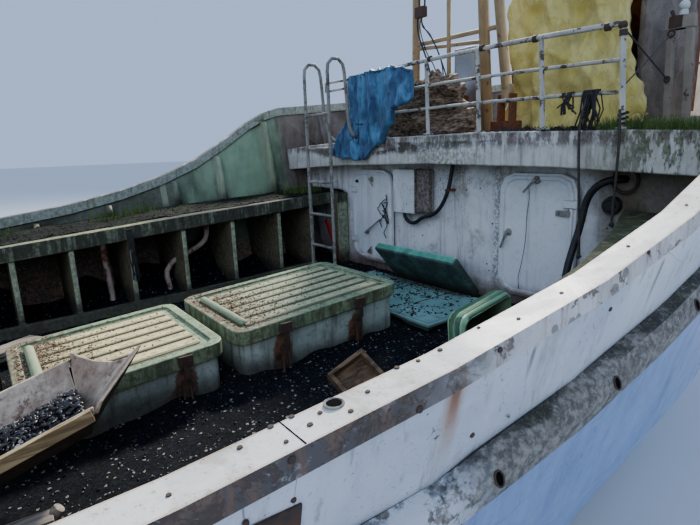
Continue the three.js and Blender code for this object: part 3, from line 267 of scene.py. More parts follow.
def weathered(name, base, second, roughness=0.62, grime_and_shade=0.5, rust=0.4, moss=0.0, streaks=0.5,
              cracks=0.0, chips=0.0, under=None, crevice=0.12, low_stain=None):
    """Old paint or gelcoat: patchy colour, specks, streaks, rust and moss where they gather, dirt darker
    still in corners as painted shade.
    """
    coat = Coat(name, roughness)
    broad = coat.noise(1.7, 5, 0.6)
    fine = coat.noise(26, 6, 0.65)
    speck = coat.noise(130, 3, 0.6)
    runs = coat.noise(1.0, 5, 0.7, stretch=(11, 11, 0.9), offset=(3, 1, 0))
    patch = coat.noise(2.6, 6, 0.7, offset=(7, 2, 5), twist=0.6)
    colour = coat.layers(
        coat.tones(broad, 0.32, 0.68, base, second),
        (fine, 0.5, 0.75, tuple(c * 0.72 for c in second[:3]), 0.35))
    if grime_and_shade:
        # Dirt in patches, and painted shade in corners from ambient occlusion
        corner_shade = coat.crevice(crevice)
        dirty = coat.band(coat.plus(coat.times(corner_shade, 0.42), coat.times(patch, 0.75)), 0.62 - 0.25 * grime_and_shade,
                          0.92 - 0.2 * grime_and_shade)
        colour = coat.blend(dirty, colour, GRIME_AND_SHADE, 0.82)
    if streaks:
        down = coat.times(coat.band(runs, 0.5, 0.78), 0.55 * streaks)
        colour = coat.blend(down, colour, shade(92, 82, 62))
    if rust:
        drip = coat.noise(1.0, 4, 0.75, stretch=(7, 7, 0.55), offset=(11, 4, 2))
        spot = coat.noise(9, 6, 0.72, offset=(2, 9, 4))
        rusty = coat.most(coat.band(drip, 0.74 - 0.12 * rust, 0.86 - 0.1 * rust),
                          coat.band(spot, 0.76 - 0.14 * rust, 0.84 - 0.12 * rust))
        tone = coat.tones(fine, 0.4, 0.65, RUST_DARK, RUST_PALE)
        colour = coat.blend(rusty, colour, tone, 0.85)
    if chips:
        edge = coat.worn_edge(0.012)
        flake = coat.noise(34, 5, 0.75, offset=(5, 5, 1))
        gone = coat.band(coat.plus(flake, coat.times(edge, 0.3)), 0.72 - 0.16 * chips, 0.76 - 0.16 * chips)
        colour = coat.blend(gone, colour, under or RUST)
    if cracks:
        wander = coat.noise(2.2, 3, 0.5, offset=(1, 8, 3), twist=0.8)
        line = coat.band(coat.apart(wander, 0.5), 0.0022, 0.0008)
        colour = coat.blend(line, colour, shade(88, 76, 62), cracks * 0.7)
    if moss:
        growth = coat.noise(14, 7, 0.75, offset=(4, 6, 8))
        lift = coat.facing(2, 0.35, 0.9)
        green = coat.band(coat.plus(coat.times(lift, 0.34), coat.times(growth, 0.85)), 0.86 - 0.22 * moss,
                          0.98 - 0.2 * moss)
        colour = coat.blend(green, colour, coat.tones(fine, 0.4, 0.6, MOSS_DARK_AND_SHADE, MOSS))
    if low_stain:
        low, high, tint = low_stain
        ragged = coat.plus(coat.axis(2), coat.times(coat.minus(patch, 0.5), 0.35))
        colour = coat.blend(coat.band(ragged, high, low, 0.0, 0.9), colour, tint)
    colour = coat.blend(coat.band(speck, 0.62, 0.72), colour, GRIME_AND_SHADE, 0.5)
    height = coat.plus(coat.times(fine, 0.6), coat.times(speck, 0.35))
    if moss:
        height = coat.plus(height, coat.times(green, 1.6))
    if chips:
        height = coat.minus(height, coat.times(gone, 0.7))
    coat.finish(colour, coat.band(patch, 0.3, 0.75, roughness - 0.1, min(0.98, roughness + 0.22)), height,
                0.003, 0.55)


def rusted(name, dark=RUST_DARK, pale=RUST, paint=None, painted=0.5, roughness=0.85):
    """Iron with scale, some of its paint still on it."""
    coat = Coat(name, roughness)
    scale = coat.noise(38, 7, 0.75)
    broad = coat.noise(5, 4, 0.6, offset=(2, 3, 1))
    height = scale
    colour = coat.layers(
        coat.tones(scale, 0.35, 0.68, dark, pale),
        (broad, 0.55, 0.75, shade(60, 50, 42), 1.0))
    if paint:
        keep = coat.noise(13, 6, 0.72, offset=(6, 1, 7))
        left = coat.band(keep, 0.62 - 0.3 * painted, 0.66 - 0.3 * painted)
        tone = coat.tones(broad, 0.35, 0.7, paint, tuple(c * 0.7 for c in paint[:3]))
        height = coat.plus(coat.times(scale, 0.5), left)
        colour = coat.blend(left, colour, tone)
    coat.finish(colour, coat.band(scale, 0.3, 0.7, roughness - 0.25, 0.95), height, 0.002, 0.7)


def cloth(name, base, second, crease_shade_and_dirt, run=(7, 7, 7)):
    """Woven plastic sheeting: fold lines, dirt and faded patches, painted light and shade along its folds,
    and painted shade in its creases.
    """
    coat = Coat(name, 0.55, Sheen_Weight=0.15)
    fold = coat.noise(1.0, 6, 0.7, stretch=run, twist=0.5)
    patch = coat.noise(2.2, 5, 0.6, offset=(4, 4, 4))
    line = coat.band(coat.apart(fold, 0.5), 0.03, 0.004)
    # Base to second colour along the fold pattern is painted light and shade; the dark colour in creases,
    # by ambient occlusion, is painted shade
    colour = coat.layers(
        coat.tones(fold, 0.35, 0.7, base, second),
        (patch, 0.5, 0.75, crease_shade_and_dirt, 0.7),
        (coat.noise(60, 5, 0.7), 0.58, 0.7, crease_shade_and_dirt, 0.5),
        (coat.crevice(0.07), 0.16, 0.55, crease_shade_and_dirt, 0.75),
        (line, crease_shade_and_dirt, 0.22))
    threads = coat.add("ShaderNodeTexWave", wave_type="BANDS", bands_direction="DIAGONAL")
    coat.set(threads.inputs["Vector"], coat.place)
    threads.inputs["Scale"].default_value = 900.0
    coat.finish(colour, coat.band(patch, 0.3, 0.7, 0.42, 0.75),
                coat.plus(fold, coat.times(threads.outputs["Fac"], 0.02)), 0.035, 0.8)


def timber(name, base, dark, grain=(3, 40, 40)):
    coat = Coat(name, 0.82)
    line = coat.noise(1.0, 6, 0.65, stretch=grain, twist=0.5)
    patch = coat.noise(4, 5, 0.6)
    colour = coat.layers(
        coat.tones(line, 0.35, 0.65, dark, base),
        (patch, 0.5, 0.8, GRIME_AND_SHADE, 0.6))
    coat.finish(colour, coat.band(patch, 0.3, 0.7, 0.72, 0.95), line, 0.002, 0.7)


def rubber(name):
    coat = Coat(name, 0.55)
    dust = coat.noise(22, 6, 0.7)
    colour = coat.mix(coat.times(coat.band(dust, 0.5, 0.8), 0.5), shade(26, 26, 27), shade(92, 84, 72))
    coat.finish(colour, coat.band(dust, 0.3, 0.7, 0.42, 0.75), dust, 0.001, 0.4)


SLAT = 0.1153  # from gap to gap between a lid's slats
INSIDE_HULL = (-4.95, 2.6, -0.56, 0.56)  # x and y round the holds and engine pit: no floor there


def hull_coat(name):
    """Blue topsides, a green-brown waterline, red bottom paint, dirty pale holds, green-grey decks."""
    coat = Coat(name, 0.34)
    broad = coat.noise(1.1, 4, 0.5)
    patch = coat.noise(3.0, 6, 0.65, offset=(3, 5, 1), twist=0.5)
    fine = coat.noise(40, 5, 0.65)
    runs = coat.noise(1.0, 5, 0.75, stretch=(8, 8, 0.5), offset=(1, 2, 3))
    height = coat.plus(coat.axis(2), coat.times(coat.minus(patch, 0.5), 0.12))
    bottom = coat.layers(
        coat.tones(patch, 0.35, 0.65, shade(112, 50, 42), shade(82, 44, 40)),
        (fine, 0.5, 0.68, shade(80, 84, 58), 0.6))
    aft, fore, _, port = INSIDE_HULL
    within = coat.times(coat.band(coat.maths("ABSOLUTE", coat.axis(1)), port, port - 0.01),
                        coat.span(2, -0.34, -0.335))
    within = coat.times(within, coat.times(coat.span(0, aft, aft + 0.01), coat.span(0, fore, fore - 0.01)))
    lining = coat.tones(patch, 0.35, 0.65, shade(176, 180, 166), shade(120, 122, 104))
    deck = coat.times(coat.facing(2, 0.6, 0.85, "True Normal"), coat.span(2, 0.5, 0.55))
    tread = coat.layers(
        coat.tones(patch, 0.38, 0.62, shade(118, 130, 112), shade(78, 84, 70)),
        (fine, 0.48, 0.62, GRIME_AND_SHADE, 0.6))
    colour = coat.layers(
        coat.tones(broad, 0.3, 0.7, shade(134, 166, 212), shade(118, 150, 198)),
        (runs, 0.52, 0.78, shade(128, 112, 84), 0.5),
        (coat.band(height, 0.3, 0.1, 0.0, 0.85), shade(96, 92, 62), 1.0),
        (height, 0.085, 0.07, bottom, 1.0),
        (within, coat.mix(coat.times(coat.band(runs, 0.45, 0.7), 0.7), lining, GRIME_AND_SHADE), 1.0),
        (deck, tread, 1.0))
    coat.finish(colour, coat.band(height, 0.25, 0.05, 0.36, 0.85),
                coat.plus(coat.times(fine, 0.25), coat.times(patch, 0.5)), 0.003, 0.3)


WEEPS = (  # x, height of its start, length, half width, colour: rust that runs down the starboard side
    (0.895, 1.57, 0.26, 0.034, shade(172, 122, 70)),
    (0.898, 1.56, 0.13, 0.018, shade(120, 66, 34)),
    (1.62, 1.68, 0.18, 0.014, shade(96, 74, 58)),
    (1.12, 1.57, 0.10, 0.010, shade(96, 74, 58)),
    (-0.8, 1.43, 0.20, 0.030, shade(146, 90, 50)),
    (-2.6, 1.43, 0.26, 0.024, shade(150, 92, 48)),
    (-4.9, 1.45, 0.22, 0.028, shade(140, 86, 50)),
    (2.9, 2.30, 0.35, 0.026, shade(150, 92, 48)),
    (4.4, 2.45, 0.30, 0.030, shade(140, 86, 50)),
    (5.5, 2.55, 0.34, 0.022, shade(150, 92, 48)),
)


STRAKE_RISE = ((0.245, 1.0037), (0.2, 1.14))  # slope and height at midships: forward, at the bow


def bulwark_coat(name):
    """White outside with a bluish hull below the strake, green inside the well, grey in the bow."""
    coat = Coat(name, 0.6)
    along = coat.normal(0)
    outside = coat.band(coat.times(coat.axis(1), coat.normal(1)), 0.35, 0.6)
    for end, way in ((-7.26, -1), (6.6, 1)):
        beyond = coat.span(0, end - 0.02 * way, end)
        outside = coat.most(outside, coat.times(beyond, coat.band(coat.times(along, float(way)), 0.3, 0.6)))
    patch = coat.noise(2.4, 6, 0.68, twist=0.5)
    fine = coat.noise(34, 6, 0.65)
    speck = coat.noise(110, 4, 0.65)
    runs = coat.noise(1.0, 5, 0.72, stretch=(9, 9, 0.8), offset=(3, 1, 0))
    corner_shade = coat.crevice(0.16)
    # Outside
    scabs = coat.band(coat.noise(13, 6, 0.74, offset=(6, 9, 4)), 0.65, 0.67)
    rash = coat.times(coat.band(coat.noise(60, 5, 0.75, offset=(2, 9, 4)), 0.6, 0.64),
                      coat.band(patch, 0.5, 0.62))
    white = coat.layers(
        coat.tones(patch, 0.35, 0.7, shade(206, 211, 219), shade(184, 191, 202)),
        (runs, 0.5, 0.74, shade(132, 122, 104), 0.6),
        (coat.noise(1.0, 5, 0.75, stretch=(30, 30, 2.5), offset=(8, 2, 4)), 0.56, 0.68, shade(112, 96, 74),
         0.45),
        (speck, 0.62, 0.72, GRIME_AND_SHADE, 0.6),
        (scabs, shade(74, 58, 46), 0.85),
        (rash, shade(96, 92, 88), 0.6))
    for x, top, length, width, tint in WEEPS:
        white = coat.blend(coat.weep(x, top, length, width), white, tint, 0.7)
    fore, bow = (coat.plus(coat.times(coat.axis(0), slope), foot) for slope, foot in STRAKE_RISE)
    strake = coat.most(1.24, coat.maths("MINIMUM", fore, bow))
    under = coat.band(coat.minus(coat.axis(2), strake), 0.02, -0.02)
    # Dark moss, laid heavier in corners by ambient occlusion as painted shade
    grown = coat.band(coat.plus(coat.times(corner_shade, 0.5), coat.times(fine, 0.62)), 0.52, 0.74)
    wander = coat.noise(1.6, 3, 0.5, offset=(1, 8, 3), twist=0.8)
    hair = coat.band(coat.apart(wander, 0.5), 0.0018, 0.0006)
    white = coat.layers(
        white,
        (under, coat.tones(runs, 0.3, 0.7, shade(118, 152, 204), shade(96, 130, 182)), 0.78),
        (grown, coat.tones(speck, 0.4, 0.6, shade(44, 46, 34), shade(84, 84, 64)), 0.85),
        (hair, shade(96, 84, 70), 0.6))
    # Inside the well: faded green, moss and mud low down
    brown = coat.band(coat.ragged(0, 0.9, 1.6), 2.2, 1.5)
    # Faces looking aft get a pale tint as painted light; strips along three ribs are pale as well
    lit_aft_faces_and_ribs = coat.times(coat.band(along, -0.6, -0.85), coat.span(2, 1.4, 1.5))
    green = coat.layers(
        coat.tones(patch, 0.32, 0.66, shade(128, 150, 122), shade(94, 116, 92)),
        (runs, 0.45, 0.72, shade(64, 68, 50), 0.75),
        (brown, coat.tones(fine, 0.4, 0.6, shade(74, 72, 58), shade(50, 44, 36)), 0.85))
    for rib in (1.70, 2.26, 2.81):
        post = coat.times(coat.span(0, rib - 0.012, rib - 0.004), coat.span(0, rib + 0.05, rib + 0.042))
        lit_aft_faces_and_ribs = coat.most(lit_aft_faces_and_ribs, coat.times(post, coat.span(2, 1.45, 1.55)))
    bright = coat.times(coat.span(0, 2.26, 2.34), coat.span(0, 2.86, 2.78))
    mud = coat.band(coat.ragged(2, 0.35), 1.22, 0.98)
    soil = coat.tones(fine, 0.4, 0.65, shade(104, 84, 70), shade(184, 136, 110))
    crust = coat.times(coat.band(coat.noise(60, 5, 0.75, offset=(4, 4, 1)), 0.56, 0.62),
                       coat.band(coat.ragged(2, 0.3, 5.0), 1.28, 1.1))
    green = coat.layers(
        green,
        (bright, shade(138, 168, 134), 0.45),
        (lit_aft_faces_and_ribs, coat.tones(runs, 0.35, 0.65, shade(176, 184, 154), shade(138, 146, 116)), 0.7),
        # Dark moss in patches, heavier in corners by ambient occlusion as painted shade
        (coat.plus(coat.times(corner_shade, 0.45), patch), 0.62, 0.92, MOSS_DARK_AND_SHADE, 0.8),
        (mud, soil, 0.9),
        (crust, shade(198, 192, 180), 0.85))
    # Inside the bow: weathered grey
    grey = coat.layers(
        coat.tones(patch, 0.35, 0.7, shade(120, 112, 104), shade(74, 66, 58)),
        (runs, 0.45, 0.7, shade(58, 44, 34), 0.7))
    inner = coat.tones(coat.axis(0), 2.95, 3.05, green, grey)
    coat.finish(coat.mix(outside, inner, white), coat.band(patch, 0.3, 0.75, 0.5, 0.85),
                coat.plus(coat.times(fine, 0.6), coat.times(crust, 0.8)), 0.003, 0.5)


def cap_coat(name):
    """The gunwale cap: chalky top with plugs, a brown flaking flange, pale green on the port side."""
    coat = Coat(name, 0.5)
    patch = coat.noise(2.6, 6, 0.7, offset=(7, 2, 5), twist=0.6)
    fine = coat.noise(30, 6, 0.68)
    speck = coat.noise(120, 4, 0.62)
    top = coat.facing(2, 0.6, 0.85)
    smudge = coat.noise(7, 6, 0.74, offset=(1, 6, 3), twist=0.5)
    pits = coat.noise(17, 6, 0.72, offset=(2, 9, 4))
    chipped = coat.band(pits, 0.675, 0.70)
    crumbs = coat.times(coat.band(coat.noise(75, 5, 0.75, offset=(3, 2, 4)), 0.6, 0.66),
                        coat.band(patch, 0.4, 0.6))
    rusty_edge = coat.band(coat.plus(coat.worn_edge(0.014), coat.times(fine, 0.8)), 0.7, 0.86)
    plug = coat.cells(7.5, stretch=(1, 1, 0.2))
    colour = coat.layers(
        coat.tones(patch, 0.35, 0.68, shade(236, 233, 227), shade(212, 208, 200)),
        (fine, 0.55, 0.7, shade(160, 150, 134), 0.5),
        (smudge, 0.5, 0.64, shade(158, 146, 130), 0.6),
        (chipped, shade(92, 70, 54), 0.85),
        (crumbs, shade(104, 84, 66), 0.75),
        (rusty_edge, shade(160, 118, 76), 0.8),
        (plug, 0.085, 0.075, shade(74, 58, 48), 0.85),
        (plug, 0.055, 0.045, shade(120, 110, 100), 0.8))
    # Flange: grey and scabby near amidships, white with brown runs from its top edge further on; towards
    # its aft end dark grey blotches, partly dirt and partly painted shade
    flake = coat.noise(1.0, 6, 0.74, stretch=(15, 15, 15), offset=(5, 5, 1), twist=0.5)
    runs = coat.noise(1.0, 6, 0.74, stretch=(30, 30, 3.0), offset=(3, 1, 0))
    aft = coat.band(coat.ragged(0, 0.5, 2.0), 1.15, 0.75)
    scab = coat.most(coat.band(flake, 0.565, 0.585), coat.times(aft, coat.band(flake, 0.5, 0.525)))
    rounds = coat.cells(13)
    amidships = coat.times(coat.span(0, 0.7, 0.8), coat.span(0, 1.7, 1.5))
    flange = coat.layers(
        coat.tones(patch, 0.4, 0.66, shade(196, 196, 197), shade(166, 162, 159)),
        (coat.times(aft, coat.band(fine, 0.22, 0.44)), shade(62, 56, 54), 0.95),
        (runs, 0.5, 0.66, shade(122, 84, 60), 0.75),
        (scab, coat.tones(fine, 0.4, 0.62, shade(62, 48, 40), shade(104, 84, 70)), 0.9),
        (coat.times(amidships, coat.band(rounds, 0.24, 0.22)), shade(112, 110, 106), 0.85))
    colour = coat.mix(top, flange, colour)
    # The inner edge faces the middle of the boat
    inward = coat.band(coat.times(coat.axis(1), coat.normal(1)), -0.3, -0.6)
    pale = coat.layers(
        coat.tones(fine, 0.38, 0.64, shade(168, 178, 166), shade(130, 138, 122)),
        (runs, 0.5, 0.68, shade(84, 78, 58), 0.7))
    colour = coat.layers(
        colour,
        (inward, pale, 0.9),
        (speck, 0.62, 0.72, GRIME_AND_SHADE, 0.5))
    # The port side has moss on top
    port = coat.times(coat.span(1, 0.2, 0.4), top)
    growth = coat.band(coat.noise(9, 6, 0.74, offset=(4, 6, 8)), 0.3, 0.5)
    mossy = coat.tones(fine, 0.4, 0.62, shade(92, 88, 70), shade(60, 58, 44))
    colour = coat.blend(coat.times(port, growth), colour, mossy, 0.9)
    height = coat.minus(coat.times(fine, 0.5),
                        coat.times(coat.most(chipped, coat.times(coat.minus(1.0, top), scab)), 0.8))
    coat.finish(colour, coat.band(patch, 0.3, 0.75, 0.38, 0.75), height, 0.003, 0.7)


def strake_coat(name):
    """The rubbing strake: grey and scaly, moss and black weed along its top, rust spots."""
    coat = Coat(name, 0.85)
    scale = coat.noise(46, 7, 0.75)
    broad = coat.noise(5, 6, 0.7, offset=(2, 3, 1), twist=0.4)
    aft = coat.times(coat.band(coat.ragged(0, 0.35, 4.0), 1.06, 0.86),
                     coat.band(coat.noise(9, 6, 0.7, offset=(8, 8, 1)), 0.44, 0.5))
    rim = coat.plus(coat.times(coat.facing(2, 0.2, 0.95), 0.42), coat.times(broad, 0.7))
    growth = coat.times(coat.band(rim, 0.7, 0.8), coat.band(scale, 0.38, 0.52))
    rust = coat.band(coat.noise(7, 6, 0.74, offset=(3, 8, 2)), 0.7, 0.73)
    colour = coat.layers(
        coat.tones(scale, 0.38, 0.64, shade(84, 81, 76), shade(152, 148, 141)),
        (broad, 0.5, 0.66, shade(92, 88, 78), 0.55),
        (aft, shade(206, 212, 222), 0.9),
        (growth, coat.tones(scale, 0.5, 0.66, shade(30, 34, 24), shade(66, 72, 44)), 0.9),
        (rust, shade(96, 52, 34), 0.9))
    coat.finish(colour, coat.band(scale, 0.3, 0.7, 0.7, 0.95),
                coat.plus(scale, coat.times(growth, 1.2)), 0.006, 0.9)


def shelf_coat(name):
    """The side shelf: black moss over pale green, brown bays; faces looking inboard pale as painted light,
    the fins' sides dark, partly dirt and partly painted shade, and a pale patch at the aft end as painted
    sunlight.
    """
    coat = Coat(name, 0.8)
    patch = coat.noise(3.2, 6, 0.7, twist=0.5)
    fine = coat.noise(36, 7, 0.72)
    runs = coat.noise(1.0, 6, 0.74, stretch=(22, 22, 2.4), offset=(3, 1, 0))
    # Faces looking inboard take the pale colour as painted light; the other sides take the dark brown,
    # partly dirt and partly painted shade
    inward = coat.facing(1, -0.5, -0.85)
    lip = coat.times(inward,
                     coat.band(coat.minus(coat.axis(2), coat.times(coat.axis(0), 0.055)), 1.27, 1.29))
    side = coat.layers(
        coat.tones(fine, 0.36, 0.62, shade(72, 64, 52), shade(118, 114, 90)),
        (patch, 0.46, 0.66, shade(66, 34, 24), 0.5))
    edge = coat.layers(
        coat.tones(fine, 0.36, 0.6, shade(176, 184, 158), shade(120, 128, 102)),
        (patch, 0.5, 0.72, shade(96, 84, 58), 0.6))
    front = coat.layers(
        coat.tones(fine, 0.36, 0.62, shade(128, 138, 116), shade(74, 78, 60)),
        (runs, 0.36, 0.54, shade(38, 38, 28), 0.9))
    # A pale yellow patch on the inboard rim at the aft end: painted sunlight
    painted_sunlit_rim = coat.times(coat.band(coat.ragged(1, 0.05, 8.0), 1.42, 1.38),
                      coat.band(coat.ragged(0, 0.6, 5.0), 1.5, 1.1))
    moss = coat.layers(
        coat.tones(fine, 0.44, 0.62, shade(16, 18, 15), shade(44, 50, 42)),
        (painted_sunlit_rim, coat.tones(fine, 0.4, 0.62, shade(150, 154, 112), shade(92, 92, 62)), 0.9))
    low = coat.band(coat.ragged(2, 0.25, 5.0), 1.0, 0.86)
    colour = coat.layers(
        coat.mix(inward, side, edge),
        (lip, front, 1.0),
        (coat.facing(2, 0.5, 0.85), moss, 1.0),
        (low, shade(34, 28, 24), 0.85))
    coat.finish(colour, coat.band(patch, 0.3, 0.7, 0.65, 0.95), fine, 0.005, 0.8)


def lid_coat(name, x0, x1, middle, warm):
    """A hatch lid: pale slats darkened next to the gaps between them as painted shade, dirt darker in
    corners as painted shade, a grey-green rim worn pale on its edges.
    """
    coat = Coat(name, 0.6)
    patch = coat.noise(3.4, 6, 0.7, offset=(x0, 2, 5), twist=0.5)
    fine = coat.noise(30, 6, 0.7)
    speck = coat.noise(120, 4, 0.65)
    runs = coat.noise(1.0, 6, 0.74, stretch=(20, 20, 3.0), offset=(x0, 1, 0))
    from_middle = coat.minus(coat.axis(1), middle)
    across = coat.maths("ABSOLUTE", from_middle)
    along = coat.apart(coat.axis(0), (x0 + x1) / 2)
    rim = coat.most(coat.band(across, 0.342, 0.352),
                    coat.band(along, (x1 - x0) / 2 - 0.073, (x1 - x0) / 2 - 0.063))
    # Slats darken towards each gap between them: painted shade
    to_gap = coat.maths("PINGPONG", coat.plus(from_middle, 10 * SLAT), SLAT / 2)
    reach = coat.plus(to_gap, coat.times(coat.minus(fine, 0.5), 0.03))
    worn = coat.band(coat.plus(coat.worn_edge(0.012), coat.times(fine, 0.7)), 0.62, 0.8)
    upright = coat.facing(2, 0.5, 0.2)
    slat = coat.layers(
        coat.tones(patch, 0.34, 0.66, warm, tuple(c * 0.74 for c in warm[:3])),
        (fine, 0.44, 0.62, shade(128, 126, 84), 0.7),
        (reach, 0.03, 0.016, shade(78, 76, 46), 0.85))
    green = coat.layers(
        coat.tones(patch, 0.36, 0.64, shade(146, 164, 124), shade(108, 130, 102)),
        (fine, 0.46, 0.62, shade(78, 78, 52), 0.75),
        (worn, shade(206, 208, 178), 0.8),
        (coat.times(upright, coat.band(runs, 0.4, 0.6)), shade(66, 60, 42), 0.75))
    # Dirt in patches, and painted shade in corners from ambient occlusion
    corner_shade = coat.crevice(0.03)
    dirty = coat.band(coat.plus(coat.times(corner_shade, 0.5), coat.times(patch, 0.7)), 0.52, 0.8)
    aft = coat.band(coat.plus(coat.axis(0), coat.times(patch, 0.5)), x0 + 0.66, x0 + 0.3)
    soil = coat.times(coat.times(aft, coat.facing(2, 0.6, 0.9)), coat.band(fine, 0.38, 0.54))
    scuffs = coat.band(coat.noise(9, 6, 0.74, offset=(6, x1, 4)), 0.66, 0.69)
    colour = coat.layers(
        coat.mix(rim, slat, green),
        (dirty, shade(58, 48, 36), 0.9),
        (soil, coat.tones(speck, 0.4, 0.6, shade(64, 50, 36), shade(128, 98, 68)), 0.9),
        (scuffs, shade(120, 76, 44), 0.75),
        (speck, 0.58, 0.68, GRIME_AND_SHADE, 0.7))
    coat.finish(colour, coat.band(patch, 0.3, 0.75, 0.5, 0.85),
                coat.plus(coat.times(fine, 0.5), coat.times(soil, 1.2)))


def coaming_coat(name, rusty):
    """A hatch coaming: grey-green gelcoat, dark at its foot, rust below each latch."""
    coat = Coat(name, 0.65)
    patch = coat.noise(2.8, 6, 0.7, offset=(2, 7, 1), twist=0.5)
    fine = coat.noise(32, 6, 0.7)
    runs = coat.noise(1.0, 6, 0.74, stretch=(14, 14, 1.3), offset=(3, 1, 0))
    colour = coat.layers(
        coat.tones(patch, 0.34, 0.66, shade(182, 196, 188), shade(142, 156, 148)),
        (runs, 0.48, 0.68, shade(78, 76, 62), 0.75),
        (fine, 0.52, 0.7, shade(84, 92, 84), 0.6))
    for x, z in rusty:
        wide = coat.near((x, -0.43, z), 0.02, 0.16, (1.5, 0.2, 0.8))
        spot = coat.band(coat.plus(wide, coat.times(coat.minus(fine, 0.5), 0.9)), 0.42, 0.62)
        colour = coat.blend(spot, colour, coat.tones(fine, 0.42, 0.6, RUST_DARK, shade(122, 72, 44)), 0.9)
    foot = coat.band(coat.ragged(2, 0.16, 5.0), 0.93, 0.80)
    colour = coat.blend(foot, colour, coat.tones(fine, 0.4, 0.6, shade(28, 26, 24), shade(66, 62, 54)),
                        0.85)
    coat.finish(colour, coat.band(patch, 0.3, 0.75, 0.5, 0.85), fine)


def bulkhead_coat(name):
    """White bulkhead: brown under the deck's lip, rust runs, specks of mould, mud at its foot."""
    coat = Coat(name, 0.55)
    patch = coat.noise(2.6, 6, 0.7, offset=(7, 2, 5), twist=0.5)
    fine = coat.noise(34, 6, 0.7)
    mould = coat.noise(70, 6, 0.75, offset=(3, 3, 3))
    runs = coat.noise(1.0, 6, 0.74, stretch=(12, 12, 0.9), offset=(3, 1, 0))
    narrow = coat.noise(1.0, 6, 0.76, stretch=(34, 34, 2.0), offset=(6, 5, 2))
    under = coat.band(coat.ragged(2, 0.22, 3.0), 1.74, 1.9)
    rust = coat.band(coat.noise(8, 6, 0.74, offset=(2, 9, 4)), 0.68, 0.71)
    corner_shade = coat.crevice(0.1)
    between = coat.times(coat.span(1, 0.12, 0.14), coat.span(1, 0.289, 0.285))
    boxed = coat.times(coat.span(0, 3.29, 3.28), between)
    foot = coat.band(coat.ragged(2, 0.35, 3.0), 1.12, 0.86)
    side = coat.band(coat.ragged(1, 0.3, 4.0), -1.12, -1.32)
    joint = coat.times(coat.span(1, -0.55, -0.5), coat.span(1, -0.43, -0.48))
    dots = coat.most(coat.times(joint, coat.band(coat.noise(42, 6, 0.75, offset=(3, 1, 3)), 0.47, 0.52)),
                     coat.times(coat.near((3.3, 0.02, 1.78), 0.12, 0.42, (1, 1, 1.4)),
                                coat.band(coat.noise(58, 6, 0.75, offset=(1, 1, 3)), 0.53, 0.57)))
    clouds = coat.band(coat.noise(3.4, 6, 0.74, offset=(9, 3, 1), twist=0.4), 0.52, 0.64)
    colour = coat.layers(
        coat.tones(patch, 0.34, 0.66, shade(240, 240, 240), shade(212, 214, 218)),
        (under, coat.tones(fine, 0.4, 0.6, shade(166, 148, 118), shade(120, 100, 76)), 0.75),
        (runs, 0.5, 0.7, shade(128, 116, 98), 0.6),
        (narrow, 0.58, 0.68, shade(116, 86, 62), 0.6),
        (coat.times(coat.band(mould, 0.56, 0.62), coat.band(patch, 0.42, 0.6)), shade(74, 70, 62), 0.75),
        (rust, RUST, 0.8),
        # Dirt in patches, laid heavier in corners by ambient occlusion as painted shade
        (coat.plus(coat.times(corner_shade, 0.45), patch), 0.66, 0.92, GRIME_AND_SHADE, 0.7),
        (boxed, coat.tones(fine, 0.42, 0.58, shade(58, 44, 36), shade(128, 116, 104)), 0.92),
        (foot, coat.tones(fine, 0.4, 0.6, shade(60, 46, 38), shade(108, 84, 66)), 0.85),
        (side, coat.tones(fine, 0.4, 0.6, shade(122, 106, 86), shade(86, 74, 60)), 0.8),
        (dots, shade(72, 60, 50), 0.6),
        (clouds, shade(142, 130, 112), 0.55))
    coat.finish(colour, coat.band(patch, 0.3, 0.75, 0.45, 0.8),
                coat.plus(fine, coat.times(mould, 0.5)), 0.002, 0.5)


def loose_lid_coat(name):
    """The lid that leans on the bulkhead: painted light where it looks up, painted shade and stains on its
    face.
    """
    coat = Coat(name, 0.6)
    patch = coat.noise(5, 6, 0.72, offset=(2, 5, 3), twist=0.6)
    fine = coat.noise(40, 6, 0.7)
    # Faces looking up are painted light; the rest is painted shade with stains
    up = coat.tones(patch, 0.36, 0.64, shade(112, 206, 174), shade(78, 166, 138))
    face = coat.layers(
        coat.tones(patch, 0.36, 0.62, shade(74, 104, 96), shade(52, 66, 62)),
        (fine, 0.5, 0.64, shade(44, 38, 32), 0.75),
        (coat.ragged(2, 0.2, 5.0), 1.02, 0.86, shade(40, 30, 26), 0.8))
    colour = coat.layers(
        coat.mix(coat.facing(2, 0.62, 0.86), face, up),
        (coat.noise(14, 6, 0.74, offset=(6, 3, 1)), 0.6, 0.65, shade(64, 56, 42), 0.8))
    coat.finish(colour, coat.band(patch, 0.3, 0.75, 0.5, 0.85), fine)


def chute_coat(name):
    """The sorting chute: a stained brownish inside, pale on its rims, with painted shade in its corners and
    on faces looking down.
    """
    coat = Coat(name, 0.65)
    patch = coat.noise(4.5, 6, 0.72, offset=(2, 5, 3), twist=0.6)
    fine = coat.noise(34, 6, 0.7)
    runs = coat.noise(1.0, 6, 0.74, stretch=(18, 18, 3.0), offset=(3, 1, 0))
    # Painted shade in corners, from ambient occlusion
    low = coat.band(coat.crevice(0.07), 0.35, 0.8)
    worn = coat.band(coat.plus(coat.worn_edge(0.008), coat.times(fine, 0.6)), 0.62, 0.8)
    colour = coat.layers(
        coat.tones(patch, 0.36, 0.62, shade(206, 190, 168), shade(160, 136, 118)),
        (fine, 0.46, 0.66, shade(112, 92, 78), 0.6),
        (runs, 0.48, 0.66, shade(120, 96, 74), 0.65),
        (coat.noise(11, 6, 0.74, offset=(8, 3, 3)), 0.6, 0.64, shade(96, 58, 38), 0.8),
        (low, shade(40, 32, 28), 0.9),
        (worn, shade(216, 202, 164), 0.7),
        # Faces looking down: painted shade
        (coat.facing(2, -0.2, -0.45), shade(38, 32, 27), 0.92))
    coat.finish(colour, coat.band(patch, 0.3, 0.75, 0.5, 0.85), fine)


